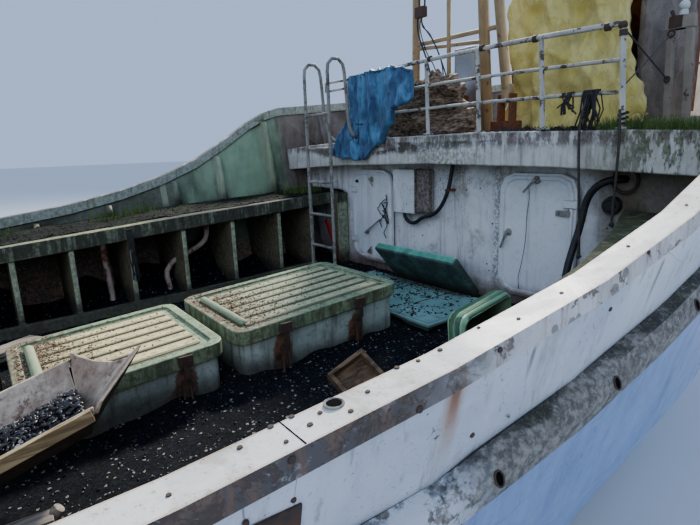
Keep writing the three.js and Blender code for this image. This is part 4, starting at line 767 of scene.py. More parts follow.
def lip_coat(name):
    """The forecastle deck and the front of its edge: brown stains above, moss to starboard."""
    coat = Coat(name, 0.65)
    patch = coat.noise(3.0, 6, 0.7, twist=0.5)
    fine = coat.noise(34, 7, 0.72)
    runs = coat.noise(1.0, 6, 0.74, stretch=(16, 16, 1.6), offset=(3, 1, 0))
    upper = coat.band(coat.ragged(2, 0.10, 9.0), 1.93, 1.99)
    stain = coat.times(coat.times(upper, coat.band(coat.ragged(2, 0.05, 14.0), 2.068, 2.05)),
                       coat.band(coat.noise(1.0, 6, 0.76, stretch=(13, 13, 5), offset=(7, 7, 1)), 0.42,
                                 0.54))
    dark = coat.tones(fine, 0.4, 0.6, shade(58, 44, 44), shade(110, 90, 82))
    starboard = coat.band(coat.ragged(1, 0.6, 5.0), -1.15, -1.62)
    grown = coat.times(starboard,
                       coat.band(coat.noise(1.0, 6, 0.76, stretch=(24, 24, 9), offset=(1, 4, 8)), 0.46,
                                 0.56))
    moss = coat.tones(fine, 0.42, 0.6, shade(52, 56, 34), shade(112, 118, 84))
    middle = coat.times(coat.near((3.06, -0.15, 1.95), 0.1, 0.55, (1, 1, 1.6)),
                        coat.band(fine, 0.46, 0.56))
    deck = coat.facing(2, 0.6, 0.9)
    soil = coat.times(deck, coat.band(coat.noise(8, 6, 0.72, offset=(3, 3, 6)), 0.44, 0.54))
    colour = coat.layers(
        coat.tones(patch, 0.34, 0.66, shade(214, 212, 206), shade(178, 174, 164)),
        (runs, 0.46, 0.7, shade(104, 92, 76), 0.7),
        (stain, dark, 0.85),
        (grown, moss, 0.9),
        (middle, moss, 0.75),
        (soil, coat.tones(fine, 0.4, 0.6, shade(40, 36, 28), shade(92, 88, 62)), 0.9))
    coat.finish(colour, coat.band(patch, 0.3, 0.7, 0.5, 0.9),
                coat.plus(coat.times(fine, 0.5), grown), 0.004, 0.7)


def make_finishes():
    hull_coat("hull_gelcoat")
    bulwark_coat("bulwark_paint")
    bulkhead_coat("bulkhead_white")
    lip_coat("lip_white")
    weathered("door_white", shade(236, 239, 242), shade(214, 219, 224), 0.5, grime_and_shade=0.25, rust=0.45,
              streaks=0.7, crevice=0.04, low_stain=(0.88, 1.05, shade(110, 78, 56)))
    cap_coat("cap_paint")
    strake_coat("strake")
    shelf_coat("shelf")
    coaming_coat("coaming_1", ((0.94, 0.86), (0.90, 0.76)))
    coaming_coat("coaming_2", ((1.50, 0.88), (1.49, 0.79), (2.02, 0.88), (2.01, 0.80)))
    # Lid 1's slats are lighter and warmer than lid 2's: painted sunlight
    lid_coat("lid_1", 0.27, 1.13, -0.02, shade(222, 208, 156))
    lid_coat("lid_2", 1.25, 2.34, 0.0, shade(196, 200, 158))
    weathered("lid_edge", shade(158, 170, 130), shade(122, 138, 106), 0.6, grime_and_shade=0.6, rust=0.3, chips=0.5,
              under=shade(84, 74, 52))
    loose_lid_coat("turquoise")
    weathered("low_green", shade(134, 176, 172), shade(104, 146, 142), 0.65, grime_and_shade=0.8, rust=0.4, moss=0.3,
              streaks=0.1)
    weathered("block_green", shade(158, 204, 164), shade(112, 168, 128), 0.5, grime_and_shade=0.35, rust=0.1,
              streaks=0.3)
    chute_coat("chute_gelcoat")
    timber("pale_ply", shade(190, 170, 126), shade(118, 96, 66))
    timber("grey_wood", shade(148, 138, 126), shade(92, 82, 72))
    rusted("dark_iron", shade(40, 32, 28), shade(84, 58, 42))
    timber("black_rag", shade(44, 42, 42), shade(16, 16, 18), grain=(40, 40, 12))
    weathered("cabinet_grey", shade(150, 164, 180), shade(124, 136, 150), 0.5, grime_and_shade=0.5, rust=0.4,
              streaks=0.6, low_stain=(2.44, 2.56, shade(62, 52, 44)))
    weathered("frosted", shade(214, 218, 216), shade(186, 190, 186), 0.3, grime_and_shade=0.5, rust=0.2, streaks=0.2)
    weathered("red_paint", shade(196, 38, 46), shade(146, 28, 34), 0.6, grime_and_shade=0.2, rust=0.2,
              low_stain=(1.02, 1.10, shade(46, 34, 28)))
    timber("old_wood", shade(120, 96, 72), shade(64, 48, 34))
    rusted("pipe", shade(62, 50, 44), shade(104, 88, 76), shade(184, 181, 174), 0.66)
    rusted("galvanised", shade(96, 88, 78), shade(124, 118, 108), shade(148, 146, 140), 0.6)
    rusted("mast_paint", paint=shade(166, 142, 104), painted=0.95, roughness=0.75)
    rusted("rusty_gear")
    rusted("bitts_paint", shade(58, 46, 38), shade(96, 72, 54), shade(148, 138, 124), 0.85)
    # Each cloth's second colour is the painted light and shade of its folds; the third is painted shade in
    # its creases and also tints its dirt
    cloth("yellow_tarp", shade(206, 188, 92), shade(224, 210, 134), shade(112, 100, 56), run=(5, 6, 2.5))
    cloth("brown_canvas", shade(120, 104, 88), shade(86, 74, 66), shade(56, 48, 44))
    cloth("blue_tarp", shade(16, 64, 112), shade(84, 150, 192), shade(9, 20, 36), run=(6, 9, 2.6))
    rubber("black_rubber")
    weathered("house_paint", shade(222, 222, 214), shade(204, 204, 194), 0.45, grime_and_shade=0.3, rust=0.4,
              streaks=0.8, cracks=0.2)
    rusted("winch_paint", paint=shade(84, 122, 104), painted=0.75)
    rusted("engine_paint", paint=shade(96, 118, 104), painted=0.9)
    rusted("antifouling", shade(92, 46, 38), shade(122, 58, 46))
    rusted("pink_pipe", shade(92, 60, 52), shade(150, 70, 62), shade(190, 168, 158), 0.6)
    timber("rope", shade(70, 66, 60), shade(36, 34, 31), grain=(60, 60, 220))
    # The net's near-black second tone, laid in stripes, is painted shade in the hollows of its folds
    timber("net", shade(156, 130, 106), shade(34, 27, 22), grain=(16, 26, 60))
    timber("grass", shade(104, 128, 54), shade(58, 82, 34), grain=(20, 20, 4))
    weathered("shelf_top", shade(120, 126, 96), shade(98, 102, 76), 0.85, grime_and_shade=0.85, rust=0.3, moss=1.0,
              streaks=0.1)
    coat = Coat("bronze", 0.42, 1.0)
    tone = coat.noise(14, 5, 0.6)
    coat.finish(coat.tones(tone, 0.35, 0.7, shade(170, 132, 78), shade(92, 104, 76)), None, tone, 0.001,
                0.4)
    coat = Coat("glass", 0.08, Transmission_Weight=0.85, IOR=1.45)
    dust = coat.noise(18, 6, 0.7)
    coat.finish(coat.tones(dust, 0.45, 0.75, shade(196, 212, 212), shade(150, 152, 142)),
                coat.band(dust, 0.4, 0.8, 0.06, 0.4))
    coat = Coat("shell_litter", 0.9, Specular_IOR_Level=0.12)
    grit = coat.noise(90, 6, 0.75)
    lump = coat.noise(12, 5, 0.7, offset=(2, 2, 2))
    chance = coat.chances(95)
    colour = coat.layers(
        coat.tones(grit, 0.42, 0.7, shade(4, 5, 7), shade(13, 16, 21)),
        (chance[0], 0.5, 0.8, shade(24, 31, 42), 0.6),
        (chance[1], 0.982, 0.99, shade(140, 138, 134), 1.0),
        (lump, 0.58, 0.8, shade(44, 36, 28), 0.5))
    coat.finish(colour, None, grit, 0.006, 1.0)
    coat = Coat("mussel_shell", 0.42)
    chance = coat.chances(34)[0]
    skin = coat.noise(160, 4, 0.6)
    colour = coat.layers(
        coat.tones(chance, 0.5, 0.72, shade(12, 13, 18), shade(40, 39, 45)),
        (chance, 0.97, 0.98, shade(156, 154, 152), 1.0),
        (skin, 0.5, 0.75, shade(92, 78, 62), 0.4))
    coat.finish(colour, None, skin, 0.001, 0.5)
    coat = Coat("soil", 0.95, Specular_IOR_Level=0.1)
    crumb = coat.noise(60, 6, 0.75)
    green = coat.noise(7, 5, 0.7, offset=(3, 5, 2))
    colour = coat.layers(
        coat.tones(crumb, 0.4, 0.66, shade(9, 11, 11), shade(36, 38, 34)),
        (green, 0.5, 0.64, coat.tones(crumb, 0.4, 0.6, shade(16, 21, 12), shade(50, 58, 40)), 1.0))
    coat.finish(colour, None, crumb, 0.006, 1.0)
    # Near black: painted shade inside holes, and dark seams
    coat = Coat("hole_shade_and_seams", 0.95, Specular_IOR_Level=0.05)
    coat.finish(coat.mix(coat.noise(80, 4), shade(3, 3, 4), shade(16, 15, 15)))
    coat = Coat("dark_clods", 0.9, Specular_IOR_Level=0.1)
    coat.finish(coat.mix(coat.noise(40, 4, 0.7), shade(14, 14, 11), shade(52, 50, 38)))
    coat = Coat("lid_dirt", 0.9)
    chance = coat.chances(70)
    colour = coat.layers(
        coat.mix(chance[0], shade(110, 84, 58), shade(50, 40, 30)),
        (chance[1], 0.8, 0.85, shade(150, 120, 84), 1.0))
    coat.finish(colour, None, coat.noise(140, 4), 0.002)


# Making pieces

UP, DOWN = (0, 0, 1), (0, 0, -1)
MERGE = 2e-5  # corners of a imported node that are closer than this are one
ROUNDED_ABOVE = 35  # degrees between faces from which an edge is rounded


def piece_from(bm, name, finish, body="boat", smooth=40.0, bevel=0.0):
    """A bmesh becomes a named piece with its finish, on its body."""
    mesh = bpy.data.meshes.new(name)
    bm.to_mesh(mesh)
    bm.free()
    piece = bpy.data.objects.new(name, mesh)
    bpy.context.scene.collection.objects.link(piece)
    mesh.materials.append(FINISHES[finish])
    mesh.polygons.foreach_set("use_smooth", [True] * len(mesh.polygons))
    mesh.set_sharp_from_angle(angle=math.radians(smooth))
    if bevel:
        rounding = piece.modifiers.new("rounding", "BEVEL")
        rounding.width = bevel
        rounding.segments = 2
        rounding.limit_method = "ANGLE"
        rounding.angle_limit = math.radians(ROUNDED_ABOVE)
        rounding.use_clamp_overlap = False
        rounding.harden_normals = True
    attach(piece, body)
    return piece


def merged(node):
    """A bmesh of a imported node, its doubles merged."""
    bm = bmesh.new()
    bm.from_mesh(NODES[node].data)
    bmesh.ops.remove_doubles(bm, verts=bm.verts, dist=MERGE)
    return bm


def dressed(node, finish, slot, bevel, body="boat", smooth=35, flatten=1.0):
    """A merged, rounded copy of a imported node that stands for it."""
    bm = merged(node)
    if flatten:
        bmesh.ops.dissolve_limit(bm, angle_limit=math.radians(flatten), verts=bm.verts, edges=bm.edges)
    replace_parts(piece_from(bm, node + "_dressed", finish, body, smooth, bevel), node)


CARRIED = [  # node, finish, slot, bevel, and what is not as usual: body, smooth angle, flatten angle
    ("hull", "hull_gelcoat", "hull_gelcoat", 0.0, {"smooth": 40, "flatten": 0.0}),
    ("bulwark", "bulwark_paint", "white_paint", 0.0, {"flatten": 0.0}),
    ("gunwale_cap", "cap_paint", "cap_paint", 0.0, {"flatten": 0.0}),
    ("rub_strake", "strake", "strake", 0.0, {"flatten": 0.0}),
    ("side_shelf", "shelf", "green_gelcoat", 0.01),
    ("starboard_ledge", "shelf_top", "green_gelcoat", 0.008),
    ("bay_pipe_1", "pink_pipe", "pipe", 0.0, {"smooth": 60, "flatten": 0.0}),
    ("bay_pipe_2", "pink_pipe", "pipe", 0.0, {"smooth": 60, "flatten": 0.0}),
    ("forecastle_bulkhead", "bulkhead_white", "white_paint", 0.0, {"flatten": 0.0}),
    ("forecastle_deck", "lip_white", "white_paint", 0.012),
    ("forecastle_door_port", "door_white", "white_paint", 0.006, {"body": "door_port"}),
    ("forecastle_door_starboard", "door_white", "white_paint", 0.006, {"body": "door_starboard"}),
    ("hatch_coaming_1", "coaming_1", "green_gelcoat", 0.01),
    ("hatch_coaming_2", "coaming_2", "green_gelcoat", 0.01),
    ("hatch_lid_1", "lid_1", "lid_gelcoat", 0.007, {"body": "lid_1"}),
    ("hatch_lid_2", "lid_2", "lid_gelcoat", 0.007, {"body": "lid_2"}),
    ("low_hatch", "low_green", "green_gelcoat", 0.005),
    ("loose_lid", "turquoise", "turquoise", 0.018),
    ("green_block", "block_green", "turquoise", 0.02),
    ("wooden_tray", "old_wood", "old_wood", 0.003),
    ("sorting_chute", "chute_gelcoat", "chute_gelcoat", 0.004),
    ("ladder", "galvanised", "pipe", 0.0, {"smooth": 50, "flatten": 0.0}),
    ("forecastle_rail", "pipe", "pipe", 0.0, {"smooth": 50, "flatten": 0.0}),
    ("gantry", "mast_paint", "mast_paint", 0.0, {"smooth": 50, "flatten": 0.0}),
    ("boom_bracket", "rusty_gear", "rusty_gear", 0.004),
    ("boom", "mast_paint", "mast_paint", 0.0, {"body": "derrick", "smooth": 50, "flatten": 0.0}),
    ("net_hauler", "rusty_gear", "rusty_gear", 0.006),
    ("twin_bitts", "bitts_paint", "pipe", 0.006),
    ("capstan", "rusty_gear", "rusty_gear", 0.006),
    ("gear_box", "cabinet_grey", "house_paint", 0.01),
    ("junction_box", "bulkhead_white", "white_paint", 0.008),
    ("wheelhouse", "house_paint", "house_paint", 0.008),
    ("wheelhouse_roof", "house_paint", "house_paint", 0.012),
    ("wheelhouse_door", "house_paint", "house_paint", 0.006, {"body": "house_door"}),
    ("wheelhouse_sole", "old_wood", "old_wood", 0.0),
    ("helm_console", "old_wood", "old_wood", 0.006),
    ("engine", "engine_paint", "engine_paint", 0.015),
    ("exhaust", "rusty_gear", "rusty_gear", 0.004),
    ("roof_mast", "pipe", "pipe", 0.003),
    ("winch_frame", "winch_paint", "winch_paint", 0.006),
    ("winch_drum", "rusty_gear", "rusty_gear", 0.004, {"body": "warp_drum"}),
    ("stern_gantry", "mast_paint", "mast_paint", 0.0, {"smooth": 50, "flatten": 0.0}),
    ("propeller", "bronze", "bronze", 0.0, {"body": "screw", "smooth": 40, "flatten": 0.0}),
    ("rudder", "antifouling", "antifouling", 0.006, {"body": "steering"}),
    ("anchor", "rusty_gear", "rusty_gear", 0.004),
]


# Places, metres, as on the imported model

HATCHES = (  # body, aft and forward edge of the coaming, its middle across
    ("lid_1", 0.27, 1.13, -0.02),
    ("lid_2", 1.25, 2.34, 0.0),
)
COAMING_HALF = 0.415


def hatch_top(x):
    """Height of the coamings' sloping top."""
    return 1.010 + 0.064 * (x - 1.8)


def cuboid(bm, x0, x1, y0, y1, z0, z1, turn=None):
    middle = Matrix.Translation(((x0 + x1) / 2, (y0 + y1) / 2, (z0 + z1) / 2))
    size = Matrix.Diagonal((x1 - x0, y1 - y0, z1 - z0, 1))
    bmesh.ops.create_cube(bm, size=1, matrix=middle @ (turn or Matrix()) @ size)


def lean_to(way):
    """The turn that takes straight up to a direction."""
    return Vector(UP).rotation_difference(way).to_matrix().to_4x4()


def barrel(bm, start, end, radius, end_radius=None, segments=16):
    """A round bar or cone between two points."""
    start, end = Vector(start), Vector(end)
    run = end - start
    bmesh.ops.create_cone(
        bm, cap_ends=True, segments=segments, radius1=radius,
        radius2=radius if end_radius is None else end_radius, depth=run.length,
        matrix=Matrix.Translation((start + end) / 2) @ lean_to(run))


def ball(bm, at, radius, subdivisions=3):
    bmesh.ops.create_icosphere(bm, subdivisions=subdivisions, radius=radius, matrix=Matrix.Translation(at))


def stud(bm, point, normal, radius, height, segments=10):
    """A flat round head on a face."""
    normal = Vector(normal)
    barrel(bm, point - normal * 0.001, point + normal * height, radius, radius * 0.8, segments)


def post(bm, foot, height, radius, segments):
    """An upright bar that stands on a point."""
    barrel(bm, foot - Vector((0, 0, 0.002)), foot + Vector((0, 0, height)), radius, segments=segments)


def round_steps(in_turn, count=None):
    """(cosine, sine, angle) of steps round a circle: one closed turn, or as many as counted."""
    for i in range(in_turn + 1 if count is None else count):
        angle = i * math.tau / in_turn
        yield math.cos(angle), math.sin(angle), angle


def smooth_path(points, steps):
    """Points close together along the smooth curve through a few, ends included."""
    points = [Vector(p) for p in points]
    ends = [2 * points[0] - points[1], *points, 2 * points[-1] - points[-2]]
    out = []
    for i in range(len(points) - 1):
        a, b, c, d = ends[i:i + 4]
        for k in range(steps):
            t = k / steps
            out.append(0.5 * (2 * b + (c - a) * t + (2 * a - 5 * b + 4 * c - d) * t * t
                              + (3 * b - a - 3 * c + d) * t ** 3))
    return [*out, points[-1]]


def tube(bm, points, radius, segments=6):
    """A round tube along points, its ends closed."""
    points = [Vector(p) for p in points]
    loops = []
    for i, point in enumerate(points):
        along = points[min(i + 1, len(points) - 1)] - points[max(i - 1, 0)]
        if i == 0:
            turn = Vector(UP).rotation_difference(along)
        else:
            turn = last.rotation_difference(along) @ turn
        last = along
        verts = bmesh.ops.create_circle(
            bm, cap_ends=i in (0, len(points) - 1), segments=segments, radius=radius,
            matrix=Matrix.Translation(point) @ turn.to_matrix().to_4x4())["verts"]
        loops.append({e for v in verts for e in v.link_edges})
    for first, second in zip(loops, loops[1:]):
        bmesh.ops.bridge_loops(bm, edges=list(first | second))
    bmesh.ops.recalc_face_normals(bm, faces=bm.faces)


def skin_of(name):
    """Finds where a line meets a piece, looking down if no way is given: (point, normal)."""
    bm = bmesh.new()
    bm.from_mesh(bpy.data.objects[name].data)
    tree = BVHTree.FromBMesh(bm)
    bm.free()

    def meet(start, way=DOWN):
        return tree.ray_cast(Vector(start), Vector(way).normalized())[:2]
    return meet


def rumple(point, size, seed=0.0):
    """Soft noise about zero."""
    return noise.noise(Vector((point[0] / size + seed, point[1] / size - seed, point[2] / size + 2 * seed)))


def strewn(meet, top, steepest, count, place):
    """Spots (point, normal) on a skin, below places drawn one after another, where it isn't too steep."""
    spots = []
    while len(spots) < count:
        at = place()
        hit, normal = meet((*at, top)) if at else (None, None)
        if hit and normal.z > steepest:
            spots.append((hit, normal))
    return spots


def scatter(name, finish, body, spots, length, seed):
    """Shells or clods: small bent ovals lying on given spots (point, normal)."""
    width, height, sunk = 0.5, 0.28, 0.2  # parts of the length, and of the height
    dice = random.Random(seed)
    oval = bmesh.new()
    bmesh.ops.create_icosphere(oval, subdivisions=1, radius=0.5)
    for vert in oval.verts:
        vert.co.y *= 1 - 0.5 * vert.co.x
    base = bpy.data.meshes.new("oval")
    oval.to_mesh(base)
    oval.free()
    bm = bmesh.new()
    for point, normal in spots:
        size = dice.uniform(*length)
        spin = Matrix.Rotation(dice.uniform(0, math.tau), 4, "Z")
        tip = Matrix.Rotation(dice.gauss(0, 0.45), 4, "X") @ Matrix.Rotation(dice.gauss(0, 0.4), 4, "Y")
        shape = Matrix.Diagonal((size, size * width * dice.uniform(0.8, 1.2),
                                 size * height * dice.uniform(0.7, 1.4), 1))
        copy = base.copy()
        lift = normal * size * height * (0.5 - sunk)
        copy.transform(Matrix.Translation(point + lift) @ lean_to(normal) @ spin @ tip @ shape)
        bm.from_mesh(copy)
        bpy.data.meshes.remove(copy)
    bpy.data.meshes.remove(base)
    piece_from(bm, name, finish, body, smooth=60)


def crumpled(node, name, finish, edge, amount, size, stretch, seed, smooth_steps=3, inside=None):
    """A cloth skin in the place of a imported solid: cut fine, eased, and pushed into folds.

    With a point inside it given, only what faces away from the point stays, 4 mm thick.
    """
    bm = merged(node)
    if inside:
        bm.normal_update()
        bmesh.ops.delete(bm, context="FACES", geom=[
            f for f in bm.faces if f.normal.dot(f.calc_center_median() - Vector(inside)) < 0])
    for _ in range(8):
        long_edges = [e for e in bm.edges if e.calc_length() > edge]
        if not long_edges:
            break
        bmesh.ops.subdivide_edges(bm, edges=long_edges, cuts=1, use_grid_fill=True)
        bmesh.ops.triangulate(bm, faces=[f for f in bm.faces if len(f.verts) > 4])
    for _ in range(smooth_steps):
        bmesh.ops.smooth_vert(bm, verts=[v for v in bm.verts if not v.is_boundary], factor=0.5,
                              use_axis_x=True, use_axis_y=True, use_axis_z=True)
    bm.normal_update()
    for vert in bm.verts:
        place = Vector(a * b for a, b in zip(vert.co, stretch))
        ridge = 1 - 2 * abs(rumple(place, size, seed)) - abs(rumple(place, size * 0.45, seed + 3))
        small = rumple(vert.co, size * 0.3, seed + 7)
        vert.co += vert.normal * amount * (ridge - 0.6 + 0.3 * small)
    piece = piece_from(bm, name, finish, smooth=180)
    if inside:
        skin = piece.modifiers.new("cloth", "SOLIDIFY")
        skin.thickness = 0.004
        skin.offset = -1.0
    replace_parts(piece, node)
    return piece


# Settings


class TrawlerSettings(bpy.types.PropertyGroup):
    """How much litter lies about, how the cloth folds and how bright the studio is."""

    deck_shells: bpy.props.IntProperty(
        name="Deck Shells", description="Shells strewn over the well deck", default=8200, min=0, max=9500)
    shell_length: bpy.props.FloatProperty(
        name="Shell Length", description="Length of the longest shells on the deck", default=0.023,
        min=0.01, max=0.1, unit="LENGTH")
    hatch_clods: bpy.props.IntProperty(
        name="Hatch Clods", description="Clods of dirt on the low hatch", default=620, min=0, max=3000)
    lid_clods: bpy.props.IntProperty(
        name="Lid Clods", description="Crumbs of soil on each hatch lid", default=1500, min=0, max=5000)
    chute_shells: bpy.props.IntProperty(
        name="Chute Shells", description="Shells heaped in the sorting chute", default=1700,
        min=0, max=5000)
    fold_depth: bpy.props.FloatProperty(
        name="Fold Depth", description="How deep the big cover's folds are", default=0.085,
        min=0.0, max=0.12, unit="LENGTH")
    key_power: bpy.props.FloatProperty(
        name="Key Light", description="Power of the main light", default=8600.0, min=0.0, max=50000.0,
        unit="POWER")
    sky_strength: bpy.props.FloatProperty(
        name="Sky Light", description="Strength of the light from all round", default=1.05,
        min=0.0, max=5.0)


# Operators


CORDS = (  # name, is it packed, points, radius, finish and slot, far end, stiffness, lay
    ("deck_hose", True, [
        (3.288, -1.385, 1.758), (3.250, -1.384, 1.760), (3.218, -1.362, 1.760), (3.199, -1.322, 1.750),
        (3.192, -1.276, 1.724), (3.191, -1.236, 1.680), (3.190, -1.210, 1.620), (3.184, -1.199, 1.545),
        (3.160, -1.194, 1.455), (3.116, -1.192, 1.360), (3.070, -1.192, 1.262), (3.036, -1.196, 1.165),
        (3.017, -1.206, 1.070), (3.011, -1.222, 0.985), (3.012, -1.230, 0.920), (3.012, -1.232, 0.871)],
     0.022, "black_rubber", "object", "medium", "hanging"),
    ("deck_cable", True, [
        (3.258, -0.102, 2.0085), (3.257, -0.101, 1.940), (3.252, -0.098, 1.850), (3.245, -0.088, 1.760),
        (3.240, -0.072, 1.670), (3.238, -0.042, 1.590), (3.238, 0.002, 1.516), (3.240, 0.062, 1.456),
        (3.242, 0.128, 1.423), (3.245, 0.190, 1.408), (3.248, 0.246, 1.388), (3.250, 0.292, 1.358),
        (3.250, 0.340, 1.340), (3.250, 0.392, 1.346), (3.250, 0.430, 1.368), (3.250, 0.447, 1.397),
        (3.250, 0.449, 1.423)], 0.016, "black_rubber", "object", "medium", "hanging"),
    ("hang_line_1", True, [
        (3.112, -1.215, 2.230), (3.092, -1.215, 2.186), (3.064, -1.215, 2.128), (3.046, -1.218, 2.055),
        (3.043, -1.226, 1.900), (3.044, -1.240, 1.700), (3.045, -1.255, 1.500), (3.046, -1.268, 1.320)],
     0.007, "rope", "knot", "limp", "hanging"),
    ("hang_line_2", True, [
        (3.096, -1.411, 2.140), (3.080, -1.420, 2.112), (3.062, -1.432, 2.076), (3.046, -1.442, 2.020),
        (3.043, -1.446, 1.950), (3.043, -1.446, 1.820), (3.044, -1.443, 1.670), (3.046, -1.440, 1.525)],
     0.007, "rope", "knot", "limp", "hanging"),
    ("gantry_cable_1", False, [
        (3.850, 0.890, 3.160), (3.850, 0.892, 3.080), (3.850, 0.862, 2.967), (3.850, 0.770, 2.770),
        (3.845, 0.700, 2.560), (3.840, 0.670, 2.330), (3.835, 0.665, 2.090)],
     0.008, "black_rubber", "object", "medium", "hanging"),
    ("gantry_cable_2", False, [
        (3.862, 0.850, 3.160), (3.862, 0.838, 3.080), (3.862, 0.740, 2.990), (3.862, 0.600, 2.740),
        (3.858, 0.560, 2.500), (3.850, 0.540, 2.280), (3.848, 0.535, 2.090)],
     0.006, "black_rubber", "object", "medium", "hanging"),
    ("gantry_cable_3", False, [
        (3.852, 0.842, 3.160), (3.846, 0.815, 3.080), (3.838, 0.660, 2.895), (3.838, 0.512, 2.590),
        (3.834, 0.470, 2.400), (3.830, 0.455, 2.240), (3.828, 0.450, 2.090)],
     0.006, "black_rubber", "object", "medium", "hanging"),
    ("gantry_cable_4", False, [
        (3.874, 0.870, 3.160), (3.872, 0.880, 3.060), (3.868, 0.800, 2.860), (3.868, 0.690, 2.700),
        (3.866, 0.625, 2.520), (3.862, 0.600, 2.300), (3.860, 0.596, 2.090)],
     0.005, "black_rubber", "object", "medium", "hanging"),
    ("bitts_stay_1", False, [(3.137, -1.385, 2.552), (3.720, -1.266, 2.470), (4.293, -1.150, 2.390)],
     0.005, "rope", "object", "stiff", "taut"),
    ("bitts_stay_2", False, [(4.293, -1.150, 2.690), (3.720, -1.278, 2.482), (3.137, -1.404, 2.270)],
     0.004, "rope", "object", "stiff", "taut"),
)


class TRAWLER_OT_lines(bpy.types.Operator):
    """Hangs the hose, the cables and the lines"""

    bl_idname = "trawler.lines"
    bl_label = "Hoses and Lines"

    def execute(self, context):
        make_finishes()
        for name, packed, points, radius, finish, far_end, stiffness, lay in CORDS:
            path = smooth_path(points, 2 if len(points) > 9 else 4)
            curve = bpy.data.curves.new(name + "_run", "CURVE")
            curve.dimensions = "3D"
            curve.bevel_depth = radius
            curve.bevel_resolution = 4
            curve.use_fill_caps = True
            spline = curve.splines.new("POLY")
            spline.points.add(len(path) - 1)
            for spot, point in zip(spline.points, path):
                spot.co = (*point, 1)
            spline.use_smooth = True
            curve.materials.append(FINISHES[finish])
            run = bpy.data.objects.new(name + "_run", curve)
            context.scene.collection.objects.link(run)
            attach(run, "boat")
            if packed:
                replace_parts(run, name)
            with_pieces = []
            if far_end == "knot":
                bm = bmesh.new()
                ball(bm, path[-1], 2 * radius)
                for vert in bm.verts:
                    vert.co += (vert.co - path[-1]) * 0.5 * rumple(vert.co, 0.012)
                with_pieces = [piece_from(bm, name + "_knot", finish)]
        return {"FINISHED"}


